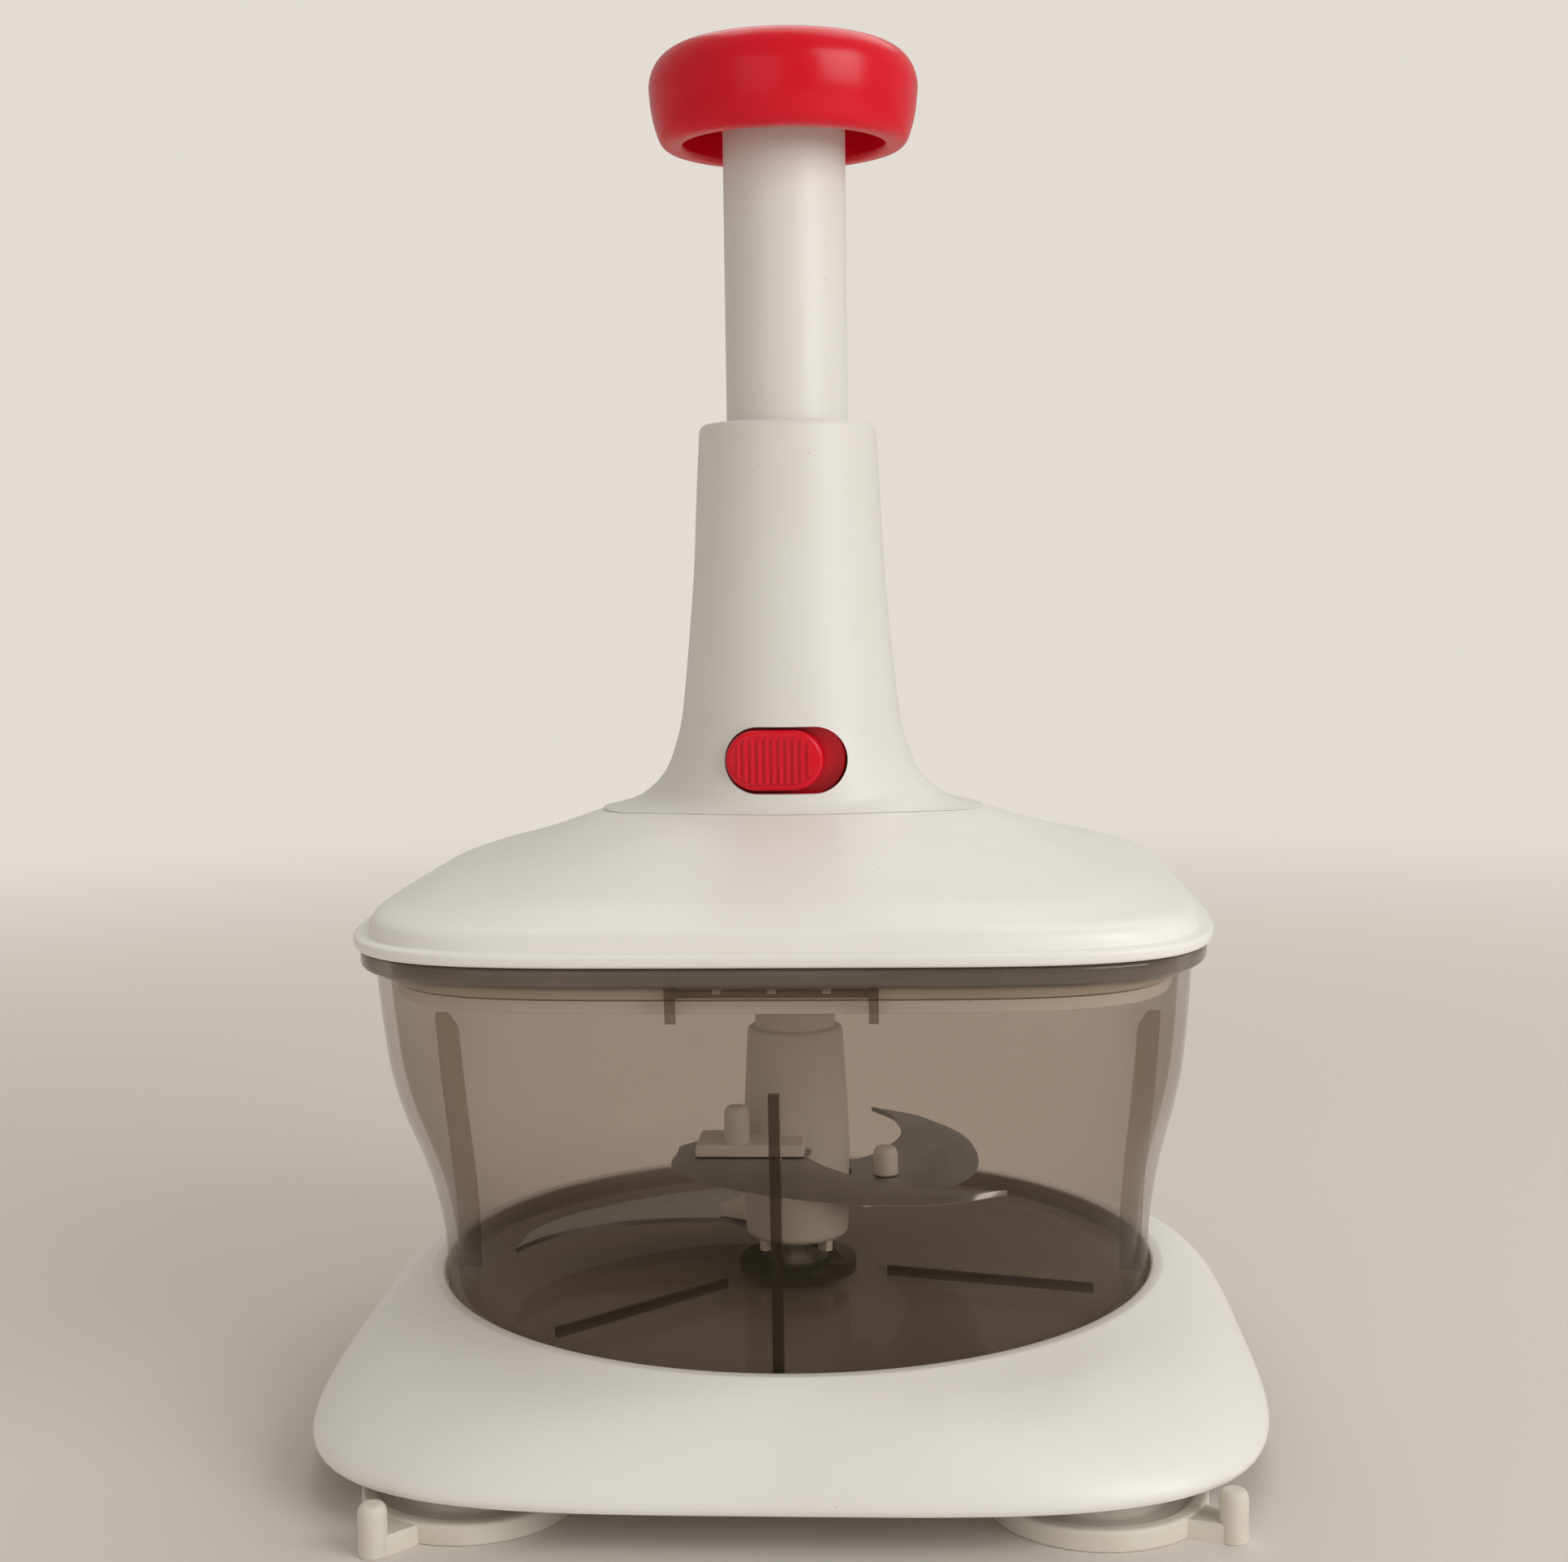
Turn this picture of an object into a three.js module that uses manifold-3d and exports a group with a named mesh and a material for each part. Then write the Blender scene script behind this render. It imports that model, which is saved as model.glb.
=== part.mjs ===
// Hand press food chopper: a see-through bowl on a suction base, a domed lid with a tall guide tower,
// and a push knob whose plunger turns a spiral spindle and the three sickle blades below it.
// Millimetres, +Z up, the front of the chopper faces -Y, the origin is on the table under the axis.

import * as THREE from 'three';
import { mergeVertices } from 'three/addons/utils/BufferGeometryUtils.js';
import Module from 'manifold-3d';

const wasm = await Module();
wasm.setup();

// Clearances shared by all the pieces.
const runningGap = 0.35;
const seatGap = 0.3;
const screwGap = 0.15;
const overrun = 2;

// Plunger: how far it is pressed, the knob and its tube.
const stroke = 52;
const turns = 2.5;
const knob = {
  radius: 26.3, height: 19.4, restGap: 1.5, lipWall: 4.2, recessDepth: 12.5,
  shoulder: 7, draft: 2.4, lipRounding: 2.2, crown: 0.8, socketWall: 2.6, socketDepth: 10,
};
const tube = { radius: 12, wall: 3, topWall: 3, flangeReach: 2.8, flangeHeight: 3, floorGap: 2.6 };
const screw = { radius: 1.5, headRadius: 3.3, headHeight: 2, bite: 5.4 };

// Drive: the spiral spindle in the lid, its nut in the tube, and the return spring.
const spindle = {
  lobeRadius: 4.3, waistRadius: 3, lobes: 3, headroom: 3.3, journalRadius: 4.8,
  collarRadius: 8.2, collarHeight: 2.2, pegRadius: 2.4, footRadius: 2.6, footLength: 12,
};
const nut = { height: 9, boreGap: 0.55 };
const springSeat = { radius: 8.3, height: 2.4 };
const spring = { coilRadius: 6.7, wire: 1.3, curls: 13 };
const hub = { acrossFlats: 9.4, height: 20.5, headRadius: 7.4, headHeight: 3.2 };

// Tower: the guide housing that stands on the lid.
const tower = {
  height: 74.85, topRadius: 17.4, waistRadius: 21.8, waistRise: 17.3, wall: 2.2, footX: 38, footY: 30,
  footDrop: 1.6, guideHeight: 18, topFillet: 1.2, bossRadius: 3.6, bossHeight: 12, bossCircle: 20.6,
};
const lock = {
  rise: 9.8, width: 23.6, height: 12.8, travel: 3, plateY: -15.7, plateThickness: 1.5,
  plateWidth: 27.8, plateHeight: 14.2, padWidth: 18.7, padHeight: 11.6, padProud: 1.4, ridges: 11,
  ridgeDepth: 0.7, ridgeMargin: 0.9, tongueX: -10.8, tongueWidth: 2.6, tongueHeight: 6, tongueReach: 3.4,
  tongueGap: 2,
};

// Lid: the domed cover, its inner cover and the seal between lid and bowl.
const lid = {
  overhang: 1.2, flangeHeight: 2.3, brim: 2.6, height: 20.1, wall: 2, rimWall: 4.6, holeRadius: 16.2,
  squareness: 5, bossRadius: 3.8, bossInset: 21,
};
const inner = { plateHeight: 1.8, skirtHeight: 8.7, skirtWall: 1.8, lip: 0.9, hubRadius: 8.6, hubHeight: 5 };
const seal = { height: 3.4, thickness: 1.5, rise: 2.6, lip: 0.4 };

// Bowl: round at the foot, square at the mouth.
const bowl = {
  height: 76.65, mouthHalf: 75.2, footRadius: 70.8, wall: 2.1, floor: 2.4, rimReach: 2.6, rimHeight: 2.7,
  rimTaper: 1.6, squareness: 5, ribDrop: 22.4, ribThickness: 1.9, ribDepth: 3.2, ribTopDepth: 1.3,
  floorRibInner: 19, floorRibOuter: 61, floorRibHeight: 1.1, socketRadius: 12, socketHeight: 1.6,
  footFillet: 1.7, gussetAcross: 17.2, gussetThickness: 1.7, gussetHeight: 7, ledgeHeight: 1.2,
  ledgeDrop: 2.4, notchWidth: 1.5, notchHeight: 0.9, notchAcross: 9.3,
};
const pin = { radius: 3.1, height: 31.5, flangeRadius: 6.4, flangeHeight: 1.1 };

// Blade set: the shaft with its three arms and the sickle blades under them.
const shaft = {
  rise: 6.3, toothHeight: 2, teeth: 4, toothWidth: 1.7, toothDepth: 2.6, footRadius: 10.4,
  waistRadius: 10.9, waistRise: 19.2, shoulderRadius: 9.6, neckRadius: 8.1, neckHeight: 10.5,
  engagement: 13, chamfer: 1.6,
};
const arm = {
  left: 19, right: 2.4, front: 18, thickness: 2.2, pegX: -11, pegY: -14.6, pegRadius: 2.5, pegHeight: 7.2,
  rivetRadius: 1.5, rivetHeadRadius: 2.9, rivetHeadHeight: 1.1,
};
const blade = { reach: 55, thickness: 1, turn: 120 };
const bladeNames = ['upper', 'middle', 'lower'];
const bladeRises = { upper: 19, middle: 11.5, lower: 0 };
const bladesOverDeck = ['middle'];

// Base: the rounded square skirt that carries the bowl, and its four suction cups.
const base = {
  halfX: 90, halfY: 87.5, lift: 8, height: 19, wellGap: 0.5, wellDepth: 5.5, wall: 2.2, rimWidth: 2.4,
  squareness: 4, bossRise: 2.6, bossPlate: 2.4, ribThickness: 1.8, ribCount: 4,
};
const cup = {
  insetX: 34.5, insetY: 25, radius: 19.5, rimHeight: 3.8, rimWall: 2.6, hollow: 2.4, channelDepth: 0.9,
  domeRadius: 12.5, neckRadius: 4.4, headRadius: 6.5, headHeight: 2.6, tabWidth: 4.4, tabHeight: 3.6,
  tabReach: 6.4, pegRadius: 2.5, pegHeight: 9,
};
const cupTurns = { front_left: 241, front_right: 328, rear_right: 45, rear_left: 135 };

// Heights above the table, each worked out from the piece that carries it.
const baseRimZ = base.lift + base.height;
const wellFloorZ = baseRimZ - base.wellDepth;
const bossZ = base.lift + base.bossRise;
const bowlLowZ = wellFloorZ + seatGap;
const bowlFloorZ = bowlLowZ + bowl.floor;
const bowlTopZ = bowlLowZ + bowl.height;
const rimUnderZ = bowlTopZ - bowl.rimHeight;
const lidLowZ = bowlTopZ + seatGap;
const flangeTopZ = lidLowZ + lid.flangeHeight;
const domeTopZ = lidLowZ + lid.height;
const innerTopZ = lidLowZ - seatGap;
const innerPlateZ = innerTopZ - inner.plateHeight;
const innerHubZ = innerPlateZ - inner.hubHeight;
const towerLowZ = domeTopZ + seatGap;
const towerTopZ = towerLowZ + tower.height;
const waistZ = towerLowZ + tower.waistRise;
const guideZ = towerTopZ - tower.guideHeight;
const lockZ = towerLowZ + lock.rise;
const collarZ = innerTopZ + seatGap;
const collarTopZ = collarZ + spindle.collarHeight;
const tubeLowZ = collarTopZ + tube.floorGap + stroke;
const tubeFlangeZ = guideZ - seatGap - tube.flangeHeight;
const lipZ = towerTopZ + knob.restGap + stroke;
const knobCeilingZ = lipZ + knob.recessDepth;
const tubeTopZ = knobCeilingZ - seatGap;
const spiralTopZ = tubeLowZ + nut.height + spindle.headroom;
const hubTopZ = innerHubZ - seatGap;
const hubLowZ = hubTopZ - hub.height;
const pinLowZ = bowlFloorZ + seatGap;
const pinTopZ = pinLowZ + pin.height;
const shaftLowZ = bowlFloorZ + shaft.rise;
const shaftTopZ = hubLowZ + shaft.engagement;

// Half widths and radii that follow the piece they fit.
const wellRadius = bowl.footRadius + base.wellGap;
const lidHalf = bowl.mouthHalf + bowl.rimReach + lid.overhang;
const domeHalf = lidHalf - lid.brim;
const sealHalf = bowl.mouthHalf - bowl.wall - seatGap;
const skirtHalf = sealHalf - seal.thickness - seatGap;
const bossAcross = skirtHalf - lid.bossInset;
const flangeRadius = tube.radius + tube.flangeReach;

// Numbers of facets.
const roundSides = 24;
const loftSides = 32;
const smallSides = 12;
const cupSides = 16;
const holeSides = 10;

const degree = Math.PI / 180;
const circle = 2;

// Geometry helpers

// Welds a geometry into one closed skin whose faces point out.
function weld(geometry) {
  const source = geometry.index ? geometry.toNonIndexed() : geometry.clone();
  for (const name of Object.keys(source.attributes)) {
    if (name !== 'position') source.deleteAttribute(name);
  }
  const weldShare = 1e-4;
  const welded = mergeVertices(source, weldShare);
  const old = welded.index.array;
  const kept = [];
  for (let i = 0; i < old.length; i += 3) {
    const [a, b, c] = [old[i], old[i + 1], old[i + 2]];
    if (a !== b && b !== c && a !== c) kept.push(a, b, c);
  }
  const at = (i) => new THREE.Vector3().fromBufferAttribute(welded.attributes.position, i);
  let volume = 0;
  for (let i = 0; i < kept.length; i += 3) {
    volume += at(kept[i]).dot(at(kept[i + 1]).cross(at(kept[i + 2])));
  }
  if (volume < 0) kept.reverse();
  welded.setIndex(kept);
  return welded;
}

// Turns a geometry into a solid that can be joined and cut.
function solid(geometry) {
  const skin = weld(geometry);
  const vertProperties = new Float32Array(skin.attributes.position.array);
  const triVerts = new Uint32Array(skin.index.array);
  return new wasm.Manifold(new wasm.Mesh({ numProp: 3, vertProperties, triVerts }));
}

// Turns a solid back into a geometry.
function skinOf(body) {
  const { vertProperties, triVerts } = body.getMesh();
  const geometry = new THREE.BufferGeometry();
  geometry.setAttribute('position', new THREE.BufferAttribute(new Float32Array(vertProperties), 3));
  geometry.setIndex(new THREE.BufferAttribute(new Uint32Array(triVerts), 1));
  return geometry;
}

const join = (bodies) => bodies.reduce((a, b) => a.add(b));
const cut = (body, tools) => tools.reduce((a, b) => a.subtract(b), body);
const mix = (from, to, share) => from + (to - from) * share;

// A body of revolution about Z from [radius, height] pairs.
function revolve(profile, sides = roundSides) {
  const points = profile.map(([r, z]) => new THREE.Vector2(r, z));
  return new THREE.LatheGeometry(points, sides).rotateX(90 * degree);
}

// A revolved profile whose rings swell from circles towards squares: each level is
// [half width x, height, squareness, half width y], where a squareness of 2 is a circle.
function loft(levels, sides = loftSides) {
  const geometry = revolve(levels.map(([x, z]) => [x, z]), sides);
  const position = geometry.attributes.position;
  for (let i = 0; i < position.count; i++) {
    const [halfX, z, squareness, halfY = halfX] = levels[i % levels.length];
    const angle = (Math.floor(i / levels.length) / sides) * 360 * degree;
    const power = Math.abs(Math.cos(angle)) ** squareness + Math.abs(Math.sin(angle)) ** squareness;
    const stretch = power ** (-1 / squareness);
    position.setXYZ(i, halfX * stretch * Math.cos(angle), halfY * stretch * Math.sin(angle), z);
  }
  return geometry;
}

// A solid block with the plan of the mouth, between two heights.
function squareBlock(half, low, high) {
  const square = bowl.squareness;
  return solid(loft([[0, low, square], [half, low, square], [half, high, square], [0, high, square]]));
}

// An upright rod, a box between two corners, and an upright plate from an outline.
function rod(radius, low, high, x = 0, y = 0, sides = smallSides) {
  const geometry = new THREE.CylinderGeometry(radius, radius, high - low, sides);
  return geometry.rotateX(90 * degree).translate(x, y, (low + high) / 2);
}

function block(x0, x1, y0, y1, z0, z1) {
  const geometry = new THREE.BoxGeometry(x1 - x0, y1 - y0, z1 - z0);
  return geometry.translate((x0 + x1) / 2, (y0 + y1) / 2, (z0 + z1) / 2);
}

function plate(shape, low, high, curveSegments = smallSides) {
  const depth = high - low;
  const geometry = new THREE.ExtrudeGeometry(shape, { depth, bevelEnabled: false, curveSegments });
  return geometry.translate(0, 0, low);
}

// An upright regular prism with a flat facing +X.
function prism(acrossFlats, sides, low, high) {
  const radius = acrossFlats / 2 / Math.cos(180 * degree / sides);
  return rod(radius, low, high, 0, 0, sides).rotateZ(180 * degree / sides);
}

// An outline with round ends, centred on its own middle.
function stadium(width, height) {
  const radius = height / 2;
  const reach = width / 2 - radius;
  const shape = new THREE.Shape();
  shape.absarc(reach, 0, radius, -90 * degree, 90 * degree, false);
  shape.absarc(-reach, 0, radius, 90 * degree, 270 * degree, false);
  shape.closePath();
  return shape;
}

// A plate that stands upright and faces -Y, between two depths.
function facePlate(shape, x, z, back, front) {
  return plate(shape, 0, back - front, holeSides / 2).rotateX(90 * degree).translate(x, back, z);
}

// An upright peg with a round top.
function pegGeometry(radius, low, high) {
  const steps = 3;
  const profile = [[0, low], [radius, low]];
  for (let i = 0; i < steps; i++) {
    const angle = (i / steps) * 90 * degree;
    profile.push([radius * Math.cos(angle), high - radius + radius * Math.sin(angle)]);
  }
  profile.push([0, high]);
  return revolve(profile, holeSides);
}

function finish(color, roughness, metalness = 0) {
  return new THREE.MeshStandardMaterial({ color, roughness, metalness });
}

const white = finish(0xe6e4de, 0.32);
const shaftWhite = finish(0xe2dfd8, 0.45);
const nylon = finish(0xefeee9, 0.5);
const red = finish(0xdb1f34, 0.3);
const smoke = finish(0x8a7f78, 0.12);
const steel = finish(0x9a9c9e, 0.3, 1);
const rubber = finish(0xdfd7c9, 0.6);

const chopper = new THREE.Group();

function addPiece(name, body, material) {
  const mesh = new THREE.Mesh(body instanceof wasm.Manifold ? skinOf(body) : weld(body), material);
  mesh.name = name;
  chopper.add(mesh);
}

// Base

// Outer skin of the base from the rim down: shares of the way out, of the way down, and of the
// way from round to square.
const baseLevelShares = [
  [0, 0, 0], [0.17, 0.08, 0.06], [0.36, 0.2, 0.25], [0.58, 0.37, 0.5], [0.8, 0.6, 0.78],
  [0.95, 0.8, 0.95], [1, 0.92, 1], [0.975, 1, 1],
];

function baseSkin(inset, bottom) {
  const rimRadius = wellRadius + base.rimWidth;
  const levels = baseLevelShares.map(([out, down, square]) => [
    mix(rimRadius, base.halfX, out) - inset,
    mix(baseRimZ, base.lift, down) - inset,
    mix(circle, base.squareness, square),
    mix(rimRadius, base.halfY, out) - inset,
  ]);
  const [footX, , square, footY] = levels[levels.length - 1];
  const kept = inset > 0 ? levels.filter(([, z], i) => i % 2 === 0 && z > base.lift) : levels;
  const foot = inset > 0 ? [[footX, bottom, square, footY]] : [];
  return solid(loft([[0, levels[0][1], circle], ...kept, ...foot, [0, bottom, circle]]));
}

function cupPlaces() {
  const signs = { front_left: [-1, -1], front_right: [1, -1], rear_right: [1, 1], rear_left: [-1, 1] };
  const [x, y] = [base.halfX - cup.insetX, base.halfY - cup.insetY];
  return Object.entries(signs).map(([name, [sx, sy]]) => [name, sx * x, sy * y]);
}

// The head of a cup's stud and the pocket in the base that it snaps into.
const headLowZ = bossZ + base.bossPlate + seatGap;

function makeBase() {
  const wellTopZ = baseRimZ + overrun;
  const wellShell = rod(wellRadius + base.wall, wellFloorZ - base.wall, wellTopZ, 0, 0, loftSides);
  const cavity = baseSkin(base.wall, base.lift - overrun).subtract(solid(wellShell));
  const well = solid(rod(wellRadius, wellFloorZ, wellTopZ, 0, 0, loftSides));
  const webs = [];
  for (let i = 0; i < base.ribCount; i++) {
    const web = block(wellRadius, base.halfX + base.halfY, -base.ribThickness / 2, base.ribThickness / 2,
      bossZ, baseRimZ);
    webs.push(solid(web.rotateZ(i * 360 * degree / base.ribCount)));
  }
  const pockets = [];
  for (const [, x, y] of cupPlaces()) {
    const pocketRadius = cup.headRadius + seatGap;
    const plateTop = bossZ + base.bossPlate;
    webs.push(solid(rod(pocketRadius + base.wall, bossZ, baseRimZ, x, y, cupSides)));
    pockets.push(solid(rod(pocketRadius, plateTop, headLowZ + cup.headHeight + seatGap, x, y, cupSides)));
    pockets.push(solid(rod(cup.neckRadius + seatGap, base.lift, headLowZ, x, y, cupSides)));
  }
  const inside = baseSkin(base.wall / 2, base.lift - overrun);
  const shell = baseSkin(0, base.lift).subtract(cavity).add(join(webs).intersect(inside));
  addPiece('base_shell', cut(shell, [well, ...pockets]), white);
}

// Suction cups

const cupHollowShare = 0.8;
const cupDomeShare = 0.86;

function cupProfile() {
  const rimInner = cup.radius - cup.rimWall;
  const channelZ = cup.rimHeight - cup.channelDepth;
  const shoulderZ = bossZ - seatGap;
  const headTopZ = headLowZ + cup.headHeight;
  return [
    [0, cup.hollow], [cup.domeRadius, cup.hollow * cupHollowShare], [rimInner, 0], [cup.radius, 0],
    [cup.radius, cup.rimHeight], [rimInner, cup.rimHeight], [rimInner - cup.channelDepth, channelZ],
    [cup.domeRadius, channelZ], [cup.domeRadius * cupDomeShare, mix(channelZ, shoulderZ, 1 / 2)],
    [cup.neckRadius + cup.channelDepth, shoulderZ], [cup.neckRadius, shoulderZ], [cup.neckRadius, headLowZ],
    [cup.headRadius, headLowZ], [cup.headRadius / 2, headTopZ], [0, headTopZ],
  ];
}

function makeCups() {
  const pegX = cup.radius + cup.tabReach;
  for (const [name, x, y] of cupPlaces()) {
    const body = solid(revolve(cupProfile(), cupSides));
    const bar = solid(block(cup.radius - cup.rimWall / 2, pegX,
      -cup.tabWidth / 2, cup.tabWidth / 2, 0, cup.tabHeight));
    const peg = solid(pegGeometry(cup.pegRadius, 0, cup.pegHeight).translate(pegX, 0, 0));
    const piece = join([body, bar, peg]).rotate([0, 0, cupTurns[name]]).translate([x, y, 0]);
    addPiece(`suction_cup_${name}`, piece, rubber);
  }
}

// Bowl

// Wall levels of the bowl from the foot up: shares of the height, of the way from the foot
// radius to the mouth's half width, and of the way from round to square.
const bowlLevelShares = [
  [0.045, 0, 0], [0.16, 0.04, 0], [0.27, 0.18, 0.05], [0.38, 0.38, 0.14], [0.48, 0.56, 0.29],
  [0.58, 0.72, 0.5], [0.69, 0.85, 0.72], [0.81, 0.93, 0.88], [0.93, 1, 1],
];

function bowlSkin(inset, low, high) {
  const levels = bowlLevelShares.map(([up, out, square]) => [
    mix(bowl.footRadius, bowl.mouthHalf, out) - inset,
    Math.max(bowlLowZ + bowl.height * up, low + bowl.footFillet),
    mix(circle, bowl.squareness, square),
  ]);
  const [mouthHalf, , square] = levels[levels.length - 1];
  const foot = [levels[0][0] - bowl.footFillet, low, circle];
  return solid(loft([[0, low, circle], foot, ...levels, [mouthHalf, high, square], [0, high, circle]]));
}

// The half width of the bowl's flat front at a height, outside.
function bowlFrontAt(z) {
  const share = (z - bowlLowZ) / bowl.height;
  const after = Math.max(bowlLevelShares.findIndex(([up]) => up >= share), 1);
  const [[lowShare, lowOut], [highShare, highOut]] = bowlLevelShares.slice(after - 1, after + 1);
  const between = (share - lowShare) / (highShare - lowShare);
  return mix(bowl.footRadius, bowl.mouthHalf, mix(lowOut, highOut, between));
}

function bowlRim() {
  const taperZ = rimUnderZ - bowl.rimTaper;
  const rimHalf = bowl.mouthHalf + bowl.rimReach;
  return solid(loft([
    [0, taperZ], [bowl.mouthHalf - bowl.wall / 2, taperZ], [rimHalf, rimUnderZ], [rimHalf, bowlTopZ],
    [0, bowlTopZ],
  ].map(([half, z]) => [half, z, bowl.squareness])));
}

// The two gussets and the notched ledge under the rim, at the front and again at the back.
function rimGussets() {
  const gussetZ = rimUnderZ - bowl.gussetHeight;
  const wallY = bowlFrontAt(gussetZ) - bowl.wall / 2;
  const half = bowl.gussetThickness / 2;
  const gusset = new THREE.Shape();
  gusset.moveTo(wallY, rimUnderZ);
  gusset.lineTo(bowl.mouthHalf + bowl.rimReach - half, rimUnderZ);
  gusset.lineTo(bowl.mouthHalf + half / 2, gussetZ);
  gusset.lineTo(wallY, gussetZ);
  gusset.closePath();
  const pieces = [-bowl.gussetAcross, bowl.gussetAcross].map((x) => {
    const web = plate(gusset, -half, half).rotateX(90 * degree).rotateZ(90 * degree);
    return solid(web.translate(x, 0, 0));
  });
  const ledgeZ = rimUnderZ - bowl.ledgeDrop;
  const ledgeTopZ = ledgeZ + bowl.ledgeHeight;
  const ledgeY = bowl.mouthHalf + half;
  const ledge = block(-bowl.gussetAcross, bowl.gussetAcross, wallY, ledgeY, ledgeZ, ledgeTopZ);
  const notches = [-bowl.notchAcross, 0, bowl.notchAcross].map((x) => (
    solid(block(x - bowl.notchWidth / 2, x + bowl.notchWidth / 2, bowl.mouthHalf, ledgeY + overrun,
      ledgeTopZ - bowl.notchHeight, ledgeTopZ + overrun))));
  const back = join([...pieces, cut(solid(ledge), notches)]);
  return [back, back.rotate([0, 0, 180])];
}

// Upright ribs on the inside of the four walls, with a sloping top.
function wallRibs() {
  const half = bowl.ribThickness / 2;
  const lowZ = bowlFloorZ - bowl.floor / 2;
  const topZ = bowlTopZ - bowl.ribDrop;
  const steps = 4;
  const rib = new THREE.Shape();
  rib.moveTo(bowlFrontAt(lowZ) - bowl.wall / 2, lowZ);
  for (let i = 1; i <= steps; i++) {
    const z = mix(lowZ, topZ, i / steps);
    rib.lineTo(bowlFrontAt(z) - bowl.wall / 2, z);
  }
  rib.lineTo(bowlFrontAt(topZ) - bowl.wall - bowl.ribTopDepth, topZ);
  for (let i = steps; i >= 0; i--) {
    const z = mix(lowZ, topZ - bowl.ribDepth, i / steps);
    rib.lineTo(bowlFrontAt(z) - bowl.wall - bowl.ribDepth, z);
  }
  rib.closePath();
  return [0, 90, 180, 270].map((turn) => (
    solid(plate(rib, -half, half).rotateX(90 * degree).rotateZ(turn * degree))));
}

function floorRibs() {
  const half = bowl.floorRibHeight / 2;
  return [-15, 105, 225].map((turn) => {
    const rib = block(bowl.floorRibInner, bowl.floorRibOuter, -half, half,
      bowlFloorZ - bowl.floor / 2, bowlFloorZ + bowl.floorRibHeight);
    return solid(rib.rotateZ(turn * degree));
  });
}

function makeBowl() {
  const socketTop = bowlFloorZ + bowl.socketHeight;
  const socketInner = pin.flangeRadius + seatGap;
  const rooted = bowlFloorZ - bowl.floor / 2;
  const ring = solid(revolve([
    [socketInner, rooted], [bowl.socketRadius, rooted],
    [bowl.socketRadius, bowlFloorZ + bowl.socketHeight / 2],
    [bowl.socketRadius - bowl.socketHeight / 2, socketTop], [socketInner, socketTop], [socketInner, rooted],
  ]));
  const outer = bowlSkin(0, bowlLowZ, bowlTopZ).add(bowlRim());
  const shell = outer.subtract(bowlSkin(bowl.wall, bowlFloorZ, bowlTopZ + overrun));
  addPiece('bowl', join([shell, ...rimGussets(), ...wallRibs(), ...floorRibs(), ring]), smoke);
}

function makePin() {
  const rounding = pin.radius / 3;
  addPiece('bowl_pin', revolve([
    [0, pinLowZ], [pin.flangeRadius, pinLowZ], [pin.flangeRadius, pinLowZ + pin.flangeHeight],
    [pin.radius, pinLowZ + pin.flangeHeight], [pin.radius, pinTopZ - rounding],
    [pin.radius - rounding, pinTopZ], [0, pinTopZ],
  ], smallSides), steel);
}

// Blade set

function shaftProfile() {
  const shoulderZ = shaftTopZ - shaft.neckHeight;
  const shaftWaistZ = shaftLowZ + shaft.waistRise;
  return [
    [0, shaftLowZ], [shaft.footRadius - shaft.chamfer, shaftLowZ],
    [shaft.footRadius, shaftLowZ + shaft.chamfer], [shaft.waistRadius, shaftWaistZ],
    [mix(shaft.waistRadius, shaft.shoulderRadius, 1 / 2), mix(shaftWaistZ, shoulderZ, 1 / 2)],
    [shaft.shoulderRadius, shoulderZ - shaft.chamfer / 2],
    [shaft.shoulderRadius - shaft.chamfer / 2, shoulderZ], [shaft.neckRadius, shoulderZ],
    [shaft.neckRadius, shaftTopZ], [0, shaftTopZ],
  ];
}

const bladeZ = (index) => shaftLowZ + bladeRises[bladeNames[index]];
const bladeTurn = (index) => blade.turn * index;

// One arm on the shaft: a flat deck over or under the blade's root, an upright peg on top, and a
// moulded rivet through the blade.
function armSolid(index) {
  const [under, over] = [bladeZ(index) - seatGap, bladeZ(index) + blade.thickness + seatGap];
  const bladeOnTop = bladesOverDeck.includes(bladeNames[index]);
  const low = bladeOnTop ? under - arm.thickness : over;
  const high = low + arm.thickness;
  const pegLow = bladeOnTop ? over : low;
  const parts = [
    block(-arm.left, arm.right, -arm.front, -shaft.waistRadius / 2, low, high),
    pegGeometry(arm.pegRadius, pegLow, high + arm.pegHeight).translate(arm.pegX, arm.pegY, 0),
  ];
  if (bladeOnTop) {
    parts.push(rod(arm.rivetRadius, low, over + arm.thickness, arm.pegX, arm.pegY, holeSides));
  } else {
    const headZ = under - arm.rivetHeadHeight;
    parts.push(rod(arm.rivetRadius, headZ, high, arm.pegX, arm.pegY, holeSides));
    parts.push(rod(arm.rivetHeadRadius, headZ, under, arm.pegX, arm.pegY, holeSides));
  }
  return join(parts.map(solid)).rotate([0, 0, bladeTurn(index)]);
}

function shaftTeeth() {
  const outer = shaft.footRadius - shaft.chamfer;
  const teeth = [];
  for (let i = 0; i < shaft.teeth; i++) {
    const tooth = block(outer - shaft.toothDepth, outer, -shaft.toothWidth / 2, shaft.toothWidth / 2,
      shaftLowZ - shaft.toothHeight, shaftLowZ + shaft.toothHeight);
    teeth.push(solid(tooth.rotateZ((i + 1 / 2) * 360 * degree / shaft.teeth)));
  }
  return teeth;
}

function makeShaft() {
  const bore = rod(pin.radius + runningGap, shaftLowZ - overrun, pinTopZ + seatGap);
  const socket = prism(hub.acrossFlats + 2 * runningGap, 6, hubLowZ - seatGap, shaftTopZ + overrun);
  const arms = bladeNames.map((name, index) => armSolid(index));
  const body = join([solid(revolve(shaftProfile())), ...shaftTeeth(), ...arms]);
  addPiece('blade_shaft', cut(body, [solid(bore), solid(socket)]), shaftWhite);
}

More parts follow.
